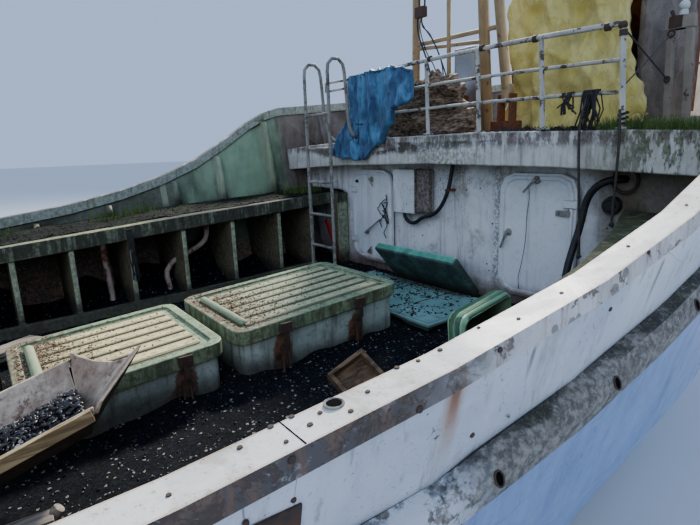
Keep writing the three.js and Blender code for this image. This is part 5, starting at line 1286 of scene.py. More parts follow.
class TRAWLER_OT_litter(bpy.types.Operator):
    """Covers the well deck, shelf and lids with mussel shells, soil and weed"""

    bl_idname = "trawler.litter"
    bl_label = "Shells and Soil"

    STEP = 0.03
    DECK = (-1.15, 3.28, 1.93)  # from x, to x, half breadth
    FINS = (-1.18, -0.74, -0.32, 0.0, 0.38, 0.75, 1.16, 1.58, 2.02, 2.5, 2.88)
    HEAPS = (0.10, 0.26, 0.16, 0.2, 0.3, 0.12, 0.22, 0.34, 0.3, 0.14, 0.1, 0.1)  # in the bays between fins
    TUFTS = (  # x, y, spread, blades
        (1.15, 1.75, 0.22, 110), (1.4, 1.8, 0.15, 70), (2.88, 1.72, 0.12, 150), (3.02, 1.6, 0.1, 90),
        (0.3, 1.8, 0.2, 60))
    CHUTE = (-0.25, 0.44, -0.90, -0.605)  # x and y of the heap in it

    def depth(self, x, y):
        """How thick the shells lie on the deck."""
        point = Vector((x, y, 0))
        deep = 0.014 + 0.022 * rumple(point, 0.35) + 0.012 * rumple(point, 0.09, 4)
        for _, x0, x1, middle in HATCHES:
            away = max(x0 - x, x - x1, abs(y - middle) - COAMING_HALF, 0)
            deep += 0.03 * max(0, 1 - away / 0.14) * (0.6 + rumple(point, 0.2, 9))
        if y > 1.42:
            heap = self.HEAPS[sum(x > fin for fin in self.FINS)]
            rise = min(1, (y - 1.42) / 0.45)
            deep += heap * rise ** 1.3 * (0.75 + 0.8 * rumple(point, 0.3, 2))
        return max(deep, 0.004)

    def soil(self, x, y):
        """How thick the soil lies on the shelf."""
        point = Vector((x, y, 0))
        return max(0.002, 0.004 + 0.014 * min(1, (y - 1.4) / 0.4) + 0.02 * rumple(point, 0.25, 5)
                   + 0.01 * rumple(point, 0.06, 1))

    def heap(self, x, y):
        """How high the shells are heaped in the chute."""
        swell = max(0, 1 - ((y + 0.76) / 0.15) ** 2)
        return 0.034 + (0.03 + 0.05 * (x + 0.25)) * swell + 0.014 * rumple(Vector((x, y, 0)), 0.07, 4)

    def on_deck(self, centre):
        for _, a, b, middle in HATCHES:
            if a + 0.03 < centre.x < b - 0.03 and abs(centre.y - middle) < COAMING_HALF - 0.03:
                return False
        edge = 1.97 if centre.x < 2.2 else 1.97 - 0.09 * (centre.x - 2.2)
        return abs(centre.y) < edge - 0.03

    def on_shelf(self, centre):
        return 1.42 + 0.05 * rumple(centre, 0.25) < centre.y < 1.93

    def field(self, meet, x0, x1, y0, y1, depth, top, missed, keep, name, finish, slot):
        """A closed layer of loose stuff, laid on what is met from the top; its own skin comes back."""
        bm = bmesh.new()
        bmesh.ops.create_grid(
            bm, x_segments=int((x1 - x0) / self.STEP), y_segments=int((y1 - y0) / self.STEP), size=0.5,
            matrix=Matrix.Translation(((x0 + x1) / 2, (y0 + y1) / 2, 0)) @ Matrix.Diagonal(
                (x1 - x0, y1 - y0, 1, 1)))
        bmesh.ops.delete(bm, context="FACES", geom=[
            f for f in bm.faces if not keep(f.calc_center_median())])
        levels = {}
        for vert in bm.verts:
            hit, _ = meet((vert.co.x, vert.co.y, top))
            levels[vert] = hit.z if hit else missed
        for vert, level in levels.items():
            vert.co.z = level + depth(vert.co.x, vert.co.y)
        skirt = bmesh.ops.extrude_face_region(bm, geom=bm.faces[:])["geom"]
        low = [v for v in skirt if isinstance(v, bmesh.types.BMVert)]
        bmesh.ops.translate(bm, verts=low, vec=(0, 0, -0.03))
        bmesh.ops.recalc_face_normals(bm, faces=bm.faces)
        piece_from(bm, name, finish, smooth=80)
        return skin_of(name)

    def execute(self, context):
        setup = context.scene.trawler
        dice = random.Random(7)

        def anywhere(x0, x1, y0, y1):
            """Draws places from a rectangle."""
            return lambda: (dice.uniform(x0, x1), dice.uniform(y0, y1))

        x0, x1, half = self.DECK
        litter = self.field(skin_of("hull_dressed"), x0, x1, -half, half, self.depth, 1.6, 0.75,
                            self.on_deck, "deck_litter", "shell_litter", "green_gelcoat")
        scatter("deck_shells", "mussel_shell", "boat",
                strewn(litter, 1.6, 0.3, setup.deck_shells, anywhere(x0 + 0.6, x1, -half, half)),
                (0.4 * setup.shell_length, setup.shell_length), 3)
        # Soil on the shelf
        soil = self.field(skin_of("side_shelf_dressed"), -1.15, 3.27, 1.36, 1.95, self.soil, 1.75, 1.35,
                          self.on_shelf, "shelf_soil", "soil", "green_gelcoat")
        scatter("shelf_clods", "dark_clods", "boat",
                strewn(soil, 1.9, 0.3, 700, anywhere(-0.4, 3.2, 1.4, 1.93)), (0.010, 0.028), 5)
        # Weed on the soil
        bm = bmesh.new()
        for x, y, spread, count in self.TUFTS:
            for _ in range(count):
                hit, _ = soil((dice.gauss(x, spread / 2), dice.gauss(y, 0.05), 1.9))
                if not hit:
                    continue
                tall = dice.uniform(0.03, 0.11)
                lean = Vector((dice.gauss(0, 0.3), dice.gauss(-0.1, 0.3), 1)).normalized() * tall
                barrel(bm, hit - Vector((0, 0, 0.004)), hit + lean, 0.0028, 0.0004, segments=3)
        piece_from(bm, "shelf_weed", "grass", smooth=80)
        # On the lids and in the chute
        for index, (body, a, b, middle) in enumerate(HATCHES):

            def crumb():
                """A place on the lid, most often near its aft edge."""
                x = a + (b - a) * abs(dice.gauss(0, 0.22)) if dice.random() < 0.85 else dice.uniform(a, b)
                y = dice.gauss(middle + 0.1, 0.2) if dice.random() < 0.6 else dice.uniform(middle - 0.4,
                                                                                           middle + 0.4)
                return (x, y) if x < b - 0.03 else None
            scatter("lid_clods_%d" % (index + 1), "lid_dirt", body,
                    strewn(skin_of("hatch_" + body + "_dressed"), 1.5, 0.5, setup.lid_clods, crumb),
                    (0.005, 0.018), 11 + index)
        floor = skin_of("sorting_chute_dressed")
        heap = self.field(lambda start: floor((start[0], -0.75, start[2])), *self.CHUTE, self.heap, 1.6,
                          1.0, lambda centre: True, "chute_heap", "shell_litter", "chute_gelcoat")
        scatter("chute_shells", "mussel_shell", "boat",
                strewn(heap, 1.6, 0.2, setup.chute_shells, anywhere(-0.25, 0.44, -0.9, -0.61)),
                (0.012, 0.034), 19)

        # On the low hatch
        def clod():
            """A place on the low hatch, more often where dirt gathers."""
            x, y = dice.uniform(2.46, 3.1), dice.uniform(-0.61, 0.71)
            return None if rumple(Vector((x, y, 0)), 0.16, 8) < dice.uniform(-0.5, 0.5) else (x, y)
        scatter("hatch_clods", "dark_clods", "boat",
                strewn(skin_of("low_hatch_dressed"), 0.885, 0.5, setup.hatch_clods, clod),
                (0.008, 0.032), 23)
        bm = bmesh.new()
        cuboid(bm, 2.452, 3.1, 0.119, 0.127, 0.869, 0.8765)
        cuboid(bm, 2.66, 3.1, -0.262, -0.254, 0.8745, 0.8775)
        piece_from(bm, "hatch_seams", "hole_shade_and_seams")
        return {"FINISHED"}


class TRAWLER_OT_covers(bpy.types.Operator):
    """Wraps the hauler in yellow sheeting, hangs the blue one on the rail and heaps the net"""

    bl_idname = "trawler.covers"
    bl_label = "Covers and Net"

    def execute(self, context):
        folds = context.scene.trawler.fold_depth
        yellow = crumpled("hauler_tarp", "yellow_cover", "yellow_tarp", 0.03, folds, 0.34, (1, 1.1, 0.55),
                          1.0, inside=(4.4, -0.56, 2.7))
        canvas = crumpled("side_tarp", "canvas_side_cover", "brown_canvas", 0.06, 0.022, 0.2, (1, 1, 0.5),
                          5.0, inside=(4.57, -0.4, 2.3))
        heap = crumpled("net_heap", "heaped_net", "net", 0.02, 0.08, 0.15, (1, 0.4, 1.5), 8.0,
                        smooth_steps=1, inside=(3.375, 0.35, 1.95))
        blue = crumpled("rail_tarp", "blue_cover", "blue_tarp", 0.018, 0.055, 0.24, (1, 1.5, 0.42), 3.0,
                        smooth_steps=2)
        return {"FINISHED"}


class TRAWLER_OT_side(bpy.types.Operator):
    """Sets plugs, a socket ring and a joint in the cap, and plugs, drains and a plate in the side"""

    bl_idname = "trawler.side"
    bl_label = "Cap and Side Fittings"

    CAP_PLUGS = ((0.501, -2.125), (0.560, -2.114), (0.598, -2.116), (0.558, -2.167), (0.607, -2.158),
                 (0.636, -2.143), (0.673, -2.178), (0.728, -2.154), (0.816, -2.132), (0.859, -2.144),
                 (0.913, -2.149), (1.02, -2.155), (1.09, -2.20))
    FLANGE_LEVELS = (1.50, 1.54, 1.60, 1.72, 1.86, 2.05, 2.3, 2.5)  # tried from below, as the sheer rises
    SOCKET = (0.667, -2.139)
    JOINT = 0.577
    DRAINS = ((1.017, 1.305), (1.446, 1.392), (1.875, 1.505))
    SIDE_PLUGS = ((0.982, 1.399), (1.399, 1.593))
    TO_PORT = (0, 1, 0)

    def execute(self, context):
        cap, side, strake = (skin_of(node + "_dressed")
                             for node in ("gunwale_cap", "bulwark", "rub_strake"))
        dice = random.Random(23)
        bm = bmesh.new()
        spots = list(self.CAP_PLUGS)
        for sign in (-1, 1):
            for i in range(96):
                x = -6.9 + i * 0.14 + dice.uniform(-0.02, 0.02)
                if sign < 0 and 0.45 < x < 1.1:
                    continue
                hit, _ = side((x, sign * 4.0, 1.42 if x < 0.9 else 1.42 + 0.35 * (x - 0.9)), (0, -sign, 0))
                if hit:
                    spots.append((x, hit.y - sign * (0.02 + 0.09 * (i % 2) + dice.uniform(-0.01, 0.01))))
        for x, y in spots:
            hit, normal = cap((x, y, 4.0))
            if hit and normal.z > 0.8:
                stud(bm, hit, normal, dice.uniform(0.0045, 0.0065), 0.0022, 8)
        for sign in (-1, 1):
            for i in range(60):
                x = -6.8 + i * 0.23 + dice.uniform(-0.03, 0.03)
                for z in self.FLANGE_LEVELS:
                    hit, normal = cap((x, sign * 4.0, z), (0, -sign, 0))
                    if hit and abs(normal.y) > 0.8:
                        stud(bm, hit, normal, dice.uniform(0.006, 0.009), 0.003, 8)
                        break
        for x, z in self.SIDE_PLUGS:
            hit, normal = side((x, -4, z), self.TO_PORT)
            stud(bm, hit, normal, 0.007, 0.003)
        piece_from(bm, "cap_plugs", "dark_iron")
        # Socket ring, and a near-black disc in it as painted shade in its hole
        hit, normal = cap((*self.SOCKET, 4))
        bm = bmesh.new()
        tube(bm, [hit + normal * 0.001 + Vector((0.0165 * c, 0.0165 * s, 0))
                  for c, s, _ in round_steps(24)], 0.0028)
        piece_from(bm, "socket_ring", "galvanised")
        bm = bmesh.new()
        stud(bm, hit, normal, 0.0155, 0.0022, 24)
        x = self.JOINT
        for k in range(9):
            y = -2.085 - k * 0.0145
            hit, normal = cap((x + 0.002 * math.sin(k * 2.1), y, 4))
            if hit and normal.z > 0.8:
                cuboid(bm, x - 0.0012, x + 0.0012, y - 0.0075, y + 0.0075, hit.z - 0.001, hit.z + 0.0007)
        piece_from(bm, "socket_shade_and_joint", "hole_shade_and_seams")
        # Drains through the strake, each with a rusty lip and a near-black disc as painted shade in its
        # hole
        bm = bmesh.new()
        dark = bmesh.new()
        for x, z in self.DRAINS:
            for sign in (-1, 1):
                hit, normal = strake((x, sign * 4, z), (0, -sign, 0))
                if not hit:
                    continue
                shape = Matrix.Translation(hit) @ lean_to(normal) @ Matrix.Diagonal((1, 1.5, 1, 1))
                tube(bm, [shape @ Vector((0.0115 * c, 0.0115 * s, 0.001))
                          for c, s, _ in round_steps(20)], 0.0025)
                bmesh.ops.create_cone(dark, cap_ends=True, segments=20, radius1=0.0112, radius2=0.0112,
                                      depth=0.003, matrix=shape)
        piece_from(bm, "drain_lips", "dark_iron")
        piece_from(dark, "drain_hole_shade", "hole_shade_and_seams")
        # The brown plate on the near side
        bm = bmesh.new()
        low, high = (side((0.52, -4, z), self.TO_PORT)[0] for z in (1.37, 1.44))
        middle = (low + high) / 2
        cuboid(bm, middle.x - 0.055, middle.x + 0.055, middle.y - 0.005, middle.y + 0.002, middle.z - 0.055,
               middle.z + 0.038, lean_to(high - low))
        for dx in (-0.04, 0.04):
            stud(bm, Vector((middle.x + dx, high.y - 0.004, 1.455)), (0, -1, 0), 0.006, 0.004)
        piece_from(bm, "side_plate", "dark_iron", bevel=0.0015)
        return {"FINISHED"}


class TRAWLER_OT_bulkhead(bpy.types.Operator):
    """Hangs levers, a plate, the lamp and a wire on the doors and bulkhead, and latches on the hatches"""

    bl_idname = "trawler.bulkhead"
    bl_label = "Door and Bulkhead Fittings"

    AFT = (-1, 0, 0)
    LEVERS = (  # body, base y z, tip y z
        ("door_starboard", (-0.835, 1.741), (-0.756, 1.658)),
        ("door_starboard", (-0.625, 1.368), (-0.578, 1.253)),
        ("door_port", (0.902, 1.700), (0.862, 1.640)),
        ("door_port", (0.945, 1.005), (0.895, 1.060)),
        ("door_port", (0.985, 1.190), (0.760, 1.335)),
    )
    WIRE = ((3.213, -0.799, 1.700), (3.238, -0.790, 1.62), (3.243, -0.775, 1.50), (3.242, -0.772, 1.33),
            (3.243, -0.752, 1.18), (3.242, -0.728, 1.06), (3.243, -0.734, 0.97))

    def execute(self, context):
        for index, (body, base, tip) in enumerate(self.LEVERS):
            hit, _ = skin_of("forecastle_" + body + "_dressed")((2.5, *base), (1, 0, 0))
            x = hit.x if hit else 3.25
            bm = bmesh.new()
            barrel(bm, (x + 0.001, *base), (x - 0.012, *base), 0.027, 0.022, 20)
            barrel(bm, (x - 0.01, *base), (x - 0.034, *base), 0.012, segments=12)
            barrel(bm, (x - 0.028, *base), (x - 0.030, *tip), 0.010, 0.007, 10)
            piece_from(bm, "door_lever_%d" % (index + 1), "galvanised", body, bevel=0.001)
        # A small plate with two studs on the starboard door
        bm = bmesh.new()
        cuboid(bm, 3.240, 3.2485, -1.085, -0.985, 1.515, 1.55)
        for y in (-1.05, -1.01):
            stud(bm, Vector((3.2405, y, 1.532)), self.AFT, 0.008, 0.006)
        piece_from(bm, "starboard_door_plate", "galvanised", "door_starboard", bevel=0.001)
        # A lashing of dark rag on the port door, and the round pad above it
        bm = bmesh.new()
        stud(bm, Vector((3.248, 1.119, 1.676)), self.AFT, 0.016, 0.012, 14)
        dice = random.Random(31)
        for k in range(7):
            z = 1.56 - k * 0.035
            start = Vector((3.235, 0.70 + dice.uniform(-0.02, 0.02), z))
            path = [start]
            for _ in range(5):
                start = start + Vector((dice.uniform(-0.008, 0.004), dice.uniform(-0.05, 0.05),
                                        dice.uniform(-0.07, 0.035)))
                start.x = max(3.19, min(start.x, 3.236))
                start.y = max(0.655, min(start.y, 0.80))
                path.append(start)
            tube(bm, smooth_path(path, 3), 0.0045)
        piece_from(bm, "port_door_lashing", "black_rag", "door_port")
        # Round lamp on the bulkhead
        bm = bmesh.new()
        barrel(bm, (3.299, -1.319, 1.60), (3.262, -1.319, 1.60), 0.058, 0.05, 24)
        barrel(bm, (3.264, -1.319, 1.60), (3.250, -1.319, 1.60), 0.036, 0.03, 24)
        piece_from(bm, "bulkhead_lamp", "black_rubber", bevel=0.002)
        # A thin wire from the upper lever of the starboard door down its face
        bm = bmesh.new()
        tube(bm, smooth_path(self.WIRE, 3), 0.002)
        piece_from(bm, "door_wire", "black_rubber", "door_starboard")
        bm = bmesh.new()
        tube(bm, [Vector((3.268, -1.395 + 0.071 * c, 1.752 + 0.071 * s)) for c, s, _ in round_steps(32)],
             0.011, 8)
        piece_from(bm, "vent_ring_seal", "dark_iron")
        # Small bolts, and the clips of the cable
        bm = bmesh.new()
        for _ in range(46):
            y, z = dice.uniform(-1.4, 1.7), dice.uniform(1.0, 1.95)
            if any(abs(y - door) < 0.32 and z < 1.86 for door in (0.925, -0.83)):
                continue
            stud(bm, Vector((3.30, y, z)), self.AFT, dice.uniform(0.005, 0.009), 0.003, 8)
        for z, y in ((1.86, -0.101), (1.64, -0.066)):
            cuboid(bm, 3.225, 3.2995, y - 0.024, y + 0.024, z - 0.008, z + 0.008)
        piece_from(bm, "bulkhead_bolts", "rusty_gear")
        # Latches on the hatches: a hasp on each lid's side and a staple on the coaming
        for index, (body, x) in enumerate((("lid_1", 0.94), ("lid_2", 1.50), ("lid_2", 2.02))):
            top = hatch_top(x)
            bm = bmesh.new()
            cuboid(bm, x - 0.034, x + 0.034, -0.476, -0.459, top + 0.018, top + 0.075)
            cuboid(bm, x - 0.018, x + 0.018, -0.474, -0.464, top - 0.05, top + 0.03)
            piece_from(bm, "lid_hasp_%d" % (index + 1), "dark_iron", body, bevel=0.002)
            bm = bmesh.new()
            cuboid(bm, x - 0.026, x + 0.026, -0.4505, -0.4355, top - 0.20, top - 0.06)
            barrel(bm, (x - 0.02, -0.452, top - 0.13), (x - 0.03, -0.475, top - 0.21), 0.006, segments=8)
            barrel(bm, (x + 0.015, -0.452, top - 0.10), (x + 0.012, -0.472, top - 0.17), 0.006, segments=8)
            piece_from(bm, "coaming_staple_%d" % (index + 1), "dark_iron", bevel=0.002)
        return {"FINISHED"}


class TRAWLER_OT_rigging(bpy.types.Operator):
    """Adds the cable clamp, the lamp on the bitts, rail couplings, frayed rope and weed on the deck edge"""

    bl_idname = "trawler.rigging"
    bl_label = "Rigging and Rope Ends"

    RAIL = 3.12  # x of the forecastle rail

    def execute(self, context):
        bm = bmesh.new()
        cuboid(bm, 3.825, 3.885, 0.80, 0.91, 3.16, 3.25)
        for y in (0.82, 0.89):
            cuboid(bm, 3.868, 3.876, y - 0.01, y + 0.01, 3.24, 3.53)
        cuboid(bm, 3.868, 3.94, 0.80, 0.91, 3.525, 3.531)
        piece_from(bm, "cable_clamp", "dark_iron", bevel=0.003)
        bm = bmesh.new()
        ball(bm, (4.31, -1.206, 2.862), 0.034)
        barrel(bm, (4.31, -1.206, 2.799), (4.31, -1.206, 2.835), 0.03, 0.024, 16)
        piece_from(bm, "bitts_lamp", "frosted")
        bm = bmesh.new()
        cuboid(bm, 4.28, 4.292, -1.21, -1.13, 2.725, 2.80)
        barrel(bm, (4.30, -1.15, 2.80), (4.30, -1.135, 2.84), 0.012, segments=8)
        for y, z, r in ((-1.15, 2.69, 0.022), (-1.15, 2.39, 0.018)):
            tube(bm, [Vector((4.287, y + r * c, z + r * s)) for c, s, _ in round_steps(14)], 0.006)
        piece_from(bm, "bitts_hardware", "dark_iron")
        # Couplings and bands on the rail
        bm = bmesh.new()
        for y, z in ((-1.300, 2.579), (-0.86, 2.598), (-0.46, 2.612), (0.02, 2.617)):
            barrel(bm, (self.RAIL, y - 0.014, z), (self.RAIL, y + 0.014, z), 0.0215, segments=14)
        ball(bm, (self.RAIL, -1.380, 2.573), 0.024, 2)
        barrel(bm, (self.RAIL, -1.386, 2.52), (self.RAIL, -1.384, 2.55), 0.021, segments=14)
        piece_from(bm, "rail_couplings", "dark_iron", bevel=0.001)
        # Rope turns and frayed ends
        dice = random.Random(41)
        bm = bmesh.new()
        tube(bm, [Vector((self.RAIL + 0.024 * c, -1.420 + 0.024 * s, 2.055 + 0.004 * t))
                  for c, s, t in round_steps(12, 40)], 0.006)
        for y0, y1, count, drop in ((-1.285, -1.190, 26, 0.21), (-1.13, -1.06, 9, 0.10)):
            for _ in range(count):
                y = dice.uniform(y0, y1)
                out = dice.choice((-1, 1)) * dice.uniform(0.012, 0.02)
                reach = drop * dice.uniform(0.55, 1.0)
                path = [Vector((self.RAIL - out, y, 2.235)), Vector((self.RAIL - out * 0.8, y, 2.258)),
                        Vector((self.RAIL, y, 2.262))]
                for wide, stray, fall in ((1.0, 0.01, 0.0), (1.5, 0.025, 0.5), (1.2, 0.04, 1.0)):
                    path.append(Vector((self.RAIL + out * wide, y + dice.uniform(-stray, stray),
                                        2.235 - reach * fall)))
                tube(bm, path, dice.uniform(0.0035, 0.006), 5)
        piece_from(bm, "frayed_rope", "black_rag", smooth=80)
        # Twigs of old rope and weed along the edge of the forecastle deck
        deck = skin_of("forecastle_deck_dressed")
        bm = bmesh.new()
        for _ in range(620):
            x = 3.075 + abs(dice.gauss(0, 0.09))
            y = dice.uniform(-1.3, -0.62) if dice.random() < 0.8 else dice.uniform(-0.6, 0.9)
            hit, _ = deck((x, y, 3))
            if hit:
                way = Vector((dice.gauss(0, 1), dice.gauss(0, 1), abs(dice.gauss(0, 0.55)))).normalized()
                reach = way * dice.uniform(0.02, 0.06)
                barrel(bm, hit, hit + reach, dice.uniform(0.0018, 0.004), 0.0012, 4)
        piece_from(bm, "deck_edge_fibres", "black_rag", smooth=80)
        bm = bmesh.new()
        for _ in range(1500):
            hit, _ = deck((3.08 + abs(dice.gauss(0, 0.14)), dice.uniform(-1.95, -1.27), 3))
            if hit:
                tall = dice.uniform(0.02, 0.085)
                lean = Vector((dice.gauss(-0.1, 0.35), dice.gauss(0, 0.35), 1)).normalized() * tall
                barrel(bm, hit - Vector((0, 0, 0.003)), hit + lean, 0.0024, 0.0004, 3)
        piece_from(bm, "deck_edge_weed", "grass", smooth=80)
        return {"FINISHED"}


class TRAWLER_OT_loose(bpy.types.Operator):
    """Lays planks, a box and a lath about, bars on the lids, and a strap and a rag on the shelf"""

    bl_idname = "trawler.loose"
    bl_label = "Planks and Strap"

    def execute(self, context):
        bm = bmesh.new()
        turn = Matrix.Rotation(math.radians(31.6), 4, "Z")
        cuboid(bm, -0.42, 0.50, 0.62, 0.755, 0.835, 0.862, turn)
        cuboid(bm, -0.50, 0.36, 0.56, 0.60, 0.800, 0.826, turn)
        piece_from(bm, "plank_1", "grey_wood", bevel=0.003)
        bm = bmesh.new()
        cuboid(bm, -0.55, 0.285, -1.062, -0.992, 0.835, 0.862, Matrix.Rotation(math.radians(-4), 4, "Z"))
        barrel(bm, (0.24, -1.03, 0.80), (0.305, -1.04, 0.865), 0.02, segments=12)
        piece_from(bm, "plank_2", "grey_wood", bevel=0.003)
        bm = bmesh.new()
        cuboid(bm, -0.05, 0.205, 0.13, 0.42, 0.76, 0.93)
        piece_from(bm, "brown_box", "dark_iron", bevel=0.012)
        # A bar along the aft edge of each lid
        for index, (body, x0, _, middle) in enumerate(HATCHES):
            bm = bmesh.new()
            x = x0 + 0.078
            top = hatch_top(x) + 0.076
            ends = [(x, middle + side * 0.29, top) for side in (-1, 1)]
            barrel(bm, *ends, 0.025)
            for end in ends:
                ball(bm, end, 0.025)
            piece_from(bm, "lid_bar_%d" % (index + 1), "lid_edge", body)
        # A worn board along the chute's near edge
        rim = skin_of("sorting_chute_dressed")
        low, high = (rim((x, -1.007, 1.6))[0] for x in (-0.24, 0.43))
        lean = Matrix.Rotation(-math.atan2(high.z - low.z, high.x - low.x), 4, "Y")
        middle = (low + high) / 2
        bm = bmesh.new()
        cuboid(bm, middle.x - 0.36, middle.x + 0.36, -1.036, -1.0145, middle.z - 0.04, middle.z + 0.004,
               lean)
        piece_from(bm, "chute_edge", "pale_ply", bevel=0.002)
        # Strap over the shelf's lip, and a rag that hangs from it
        bm = bmesh.new()
        cuboid(bm, 1.135, 1.175, 1.288, 1.296, 1.28, 1.43)
        cuboid(bm, 1.130, 1.180, 1.288, 1.50, 1.425, 1.438)
        piece_from(bm, "shelf_strap", "black_rubber", bevel=0.002)
        dice = random.Random(53)
        bm = bmesh.new()
        for _ in range(9):
            x = 1.155 + dice.uniform(-0.02, 0.02)
            path = [Vector((x, 1.286, 1.42)), Vector((x + dice.uniform(-0.01, 0.02), 1.27, 1.33)),
                    Vector((x + dice.uniform(-0.01, 0.03), 1.275, 1.22)),
                    Vector((x + dice.uniform(-0.01, 0.03), 1.28, dice.uniform(1.02, 1.15)))]
            tube(bm, smooth_path(path, 2), 0.005, 5)
        piece_from(bm, "shelf_rag", "black_rag")
        # A lath with a red end that leans under the shelf
        bm = bmesh.new()
        lean = Matrix.Rotation(-math.atan2(0.23, 0.426), 4, "X")
        cuboid(bm, 3.12, 3.14, 1.375, 1.425, 0.845, 1.303, lean)
        piece_from(bm, "red_lath", "red_paint", bevel=0.002)
        return {"FINISHED"}


def opening_frame(bm, axis, at, low, high, foot, head, out):
    """Four strips round a window: axis 0 for one that looks along x, 1 along y."""
    wide, deep = 0.035, 0.014
    near, far = sorted((at, at + out * deep))
    for a, b, c, d in ((low - wide, high + wide, foot - wide, foot),
                       (low - wide, high + wide, head, head + wide),
                       (low - wide, low, foot, head), (high, high + wide, foot, head)):
        if axis == 0:
            cuboid(bm, near, far, a, b, c, d)
        else:
            cuboid(bm, a, b, near, far, c, d)


class TRAWLER_OT_house(bpy.types.Operator):
    """Frames the wheelhouse windows, rails its roof, and winds the warps on the winch"""

    bl_idname = "trawler.house"
    bl_label = "Wheelhouse and Winch Fittings"

    SILL, HEAD = 1.90, 2.48
    SIDE = 1.0505  # y of the house's side, a hair outside it
    FRONT, BACK = -2.6995, -5.3005
    SIDE_WINDOWS = ((-4.90, -4.25), (-3.95, -3.05))
    FRONT_WINDOWS = ((-0.93, -0.37), (-0.28, 0.28), (0.37, 0.93))
    DRUM = (-1.90, 1.25)  # x, height
    CORE = 0.13  # radius of the drum's barrel
    WARP = 0.011  # radius of the wire
    LAYERS = (  # turns, y of the first, from turn to turn, radius of the layer
        (28, 0.135, 0.022, CORE + WARP + 0.001),
        (24, 0.17, 0.0225, CORE + 3 * WARP - 0.002),
    )

    def execute(self, context):
        bm = bmesh.new()
        for a, b in self.SIDE_WINDOWS:
            for side in (-1, 1):
                opening_frame(bm, 1, side * self.SIDE, a, b, self.SILL, self.HEAD, side)
        for a, b in self.FRONT_WINDOWS:
            opening_frame(bm, 0, self.FRONT, a, b, self.SILL, self.HEAD, 1)
        opening_frame(bm, 0, self.BACK, -0.80, -0.15, self.SILL, self.HEAD, -1)
        piece_from(bm, "window_frames", "black_rubber", bevel=0.003)
        bm = bmesh.new()
        for side in (-1, 1):
            edge = sorted((side * self.SIDE, side * 1.078))
            cuboid(bm, -5.28, -2.72, *edge, 2.55, 2.566)
            cuboid(bm, -5.28, -2.72, *edge, 1.40, 1.425)
        cuboid(bm, self.FRONT, -2.675, -1.04, 1.04, 2.55, 2.566)
        piece_from(bm, "drip_strips", "house_paint", bevel=0.003)
        # Handrails, the searchlight and the horn on the roof
        roof = skin_of("wheelhouse_roof_dressed")
        bm = bmesh.new()
        for side in (-1, 1):
            line = []
            for k in range(7):
                foot, _ = roof((-5.35 + k * 0.46, side * 0.98, 4))
                post(bm, foot, 0.10, 0.011, 10)
                line.append(foot + Vector((0, 0, 0.10)))
            tube(bm, [line[0] + Vector((-0.06, 0, -0.05)), *line, line[-1] + Vector((0.06, 0, -0.05))],
                 0.013, 10)
        piece_from(bm, "roof_handrails", "galvanised", smooth=60)
        bm = bmesh.new()
        foot, _ = roof((-2.75, 0.0, 4))
        post(bm, foot, 0.16, 0.018, 12)
        barrel(bm, foot + Vector((-0.10, 0, 0.22)), foot + Vector((0.08, 0, 0.22)), 0.09, 0.11, segments=24)
        foot, _ = roof((-3.3, 0.55, 4))
        post(bm, foot, 0.12, 0.014, 10)
        barrel(bm, foot + Vector((-0.12, 0, 0.15)), foot + Vector((0.16, 0, 0.15)), 0.022, 0.065,
               segments=20)
        piece_from(bm, "searchlight_and_horn", "galvanised", bevel=0.003)
        for side, name, finish in ((-1, "starboard", "turquoise"), (1, "port", "antifouling")):
            bm = bmesh.new()
            cuboid(bm, -2.94, -2.86, *sorted((side * self.SIDE, side * 1.13)), 2.60, 2.74)
            piece_from(bm, "side_light_" + name, finish, bevel=0.012)
        # Handle of the house door
        bm = bmesh.new()
        barrel(bm, (-5.342, 0.21, 1.62), (-5.392, 0.21, 1.62), 0.012, segments=12)
        barrel(bm, (-5.386, 0.205, 1.62), (-5.386, 0.33, 1.61), 0.010, 0.008, 12)
        cuboid(bm, -5.350, -5.3435, 0.175, 0.25, 1.54, 1.70)
        piece_from(bm, "house_door_handle", "galvanised", "house_door", bevel=0.002)
        # Warps wound on the drum, and the winch's levers
        bm = bmesh.new()
        x, z = self.DRUM
        for side in (-1, 1):
            for turns, first, apart, r in self.LAYERS:
                tube(bm, [Vector((x + r * c, side * (first + apart * k / 12), z + r * s))
                          for k, (c, s, _) in enumerate(round_steps(12, 12 * turns))], self.WARP)
        piece_from(bm, "wound_warps", "rope", "warp_drum", smooth=80)
        bm = bmesh.new()
        for y in (-0.90, 0.90):
            barrel(bm, (x + 0.26, y, 0.86), (x + 0.36, y, 1.42), 0.013, segments=10)
            ball(bm, (x + 0.364, y, 1.44), 0.026, 2)
        piece_from(bm, "winch_levers", "dark_iron", smooth=50)
        return {"FINISHED"}


class TRAWLER_OT_camera(bpy.types.Operator):
    """Puts the camera where the boat was seen from"""

    bl_idname = "trawler.camera"
    bl_label = "Camera"

    def execute(self, context):
        yaw, pitch, roll = (math.radians(a) for a in (CAMERA_YAW, CAMERA_PITCH, CAMERA_ROLL))
        ahead = Vector((math.sin(yaw), math.cos(yaw), 0))
        side = Vector((math.cos(yaw), -math.sin(yaw), 0))
        up = Vector(UP)
        look = math.cos(pitch) * ahead - math.sin(pitch) * up
        top = math.sin(pitch) * ahead + math.cos(pitch) * up
        right = math.cos(roll) * side - math.sin(roll) * top
        high = math.sin(roll) * side + math.cos(roll) * top
        data = bpy.data.cameras.new("trawler_camera")
        data.sensor_width = 36
        data.lens = CAMERA_LENS
        data.clip_start = 0.05
        data.clip_end = 400
        camera = bpy.data.objects.new("trawler_camera", data)
        camera.matrix_world = Matrix((right, high, -look)).transposed().to_4x4()
        camera.location = CAMERA_AT
        context.scene.collection.objects.link(camera)
        context.scene.camera = camera
        return {"FINISHED"}


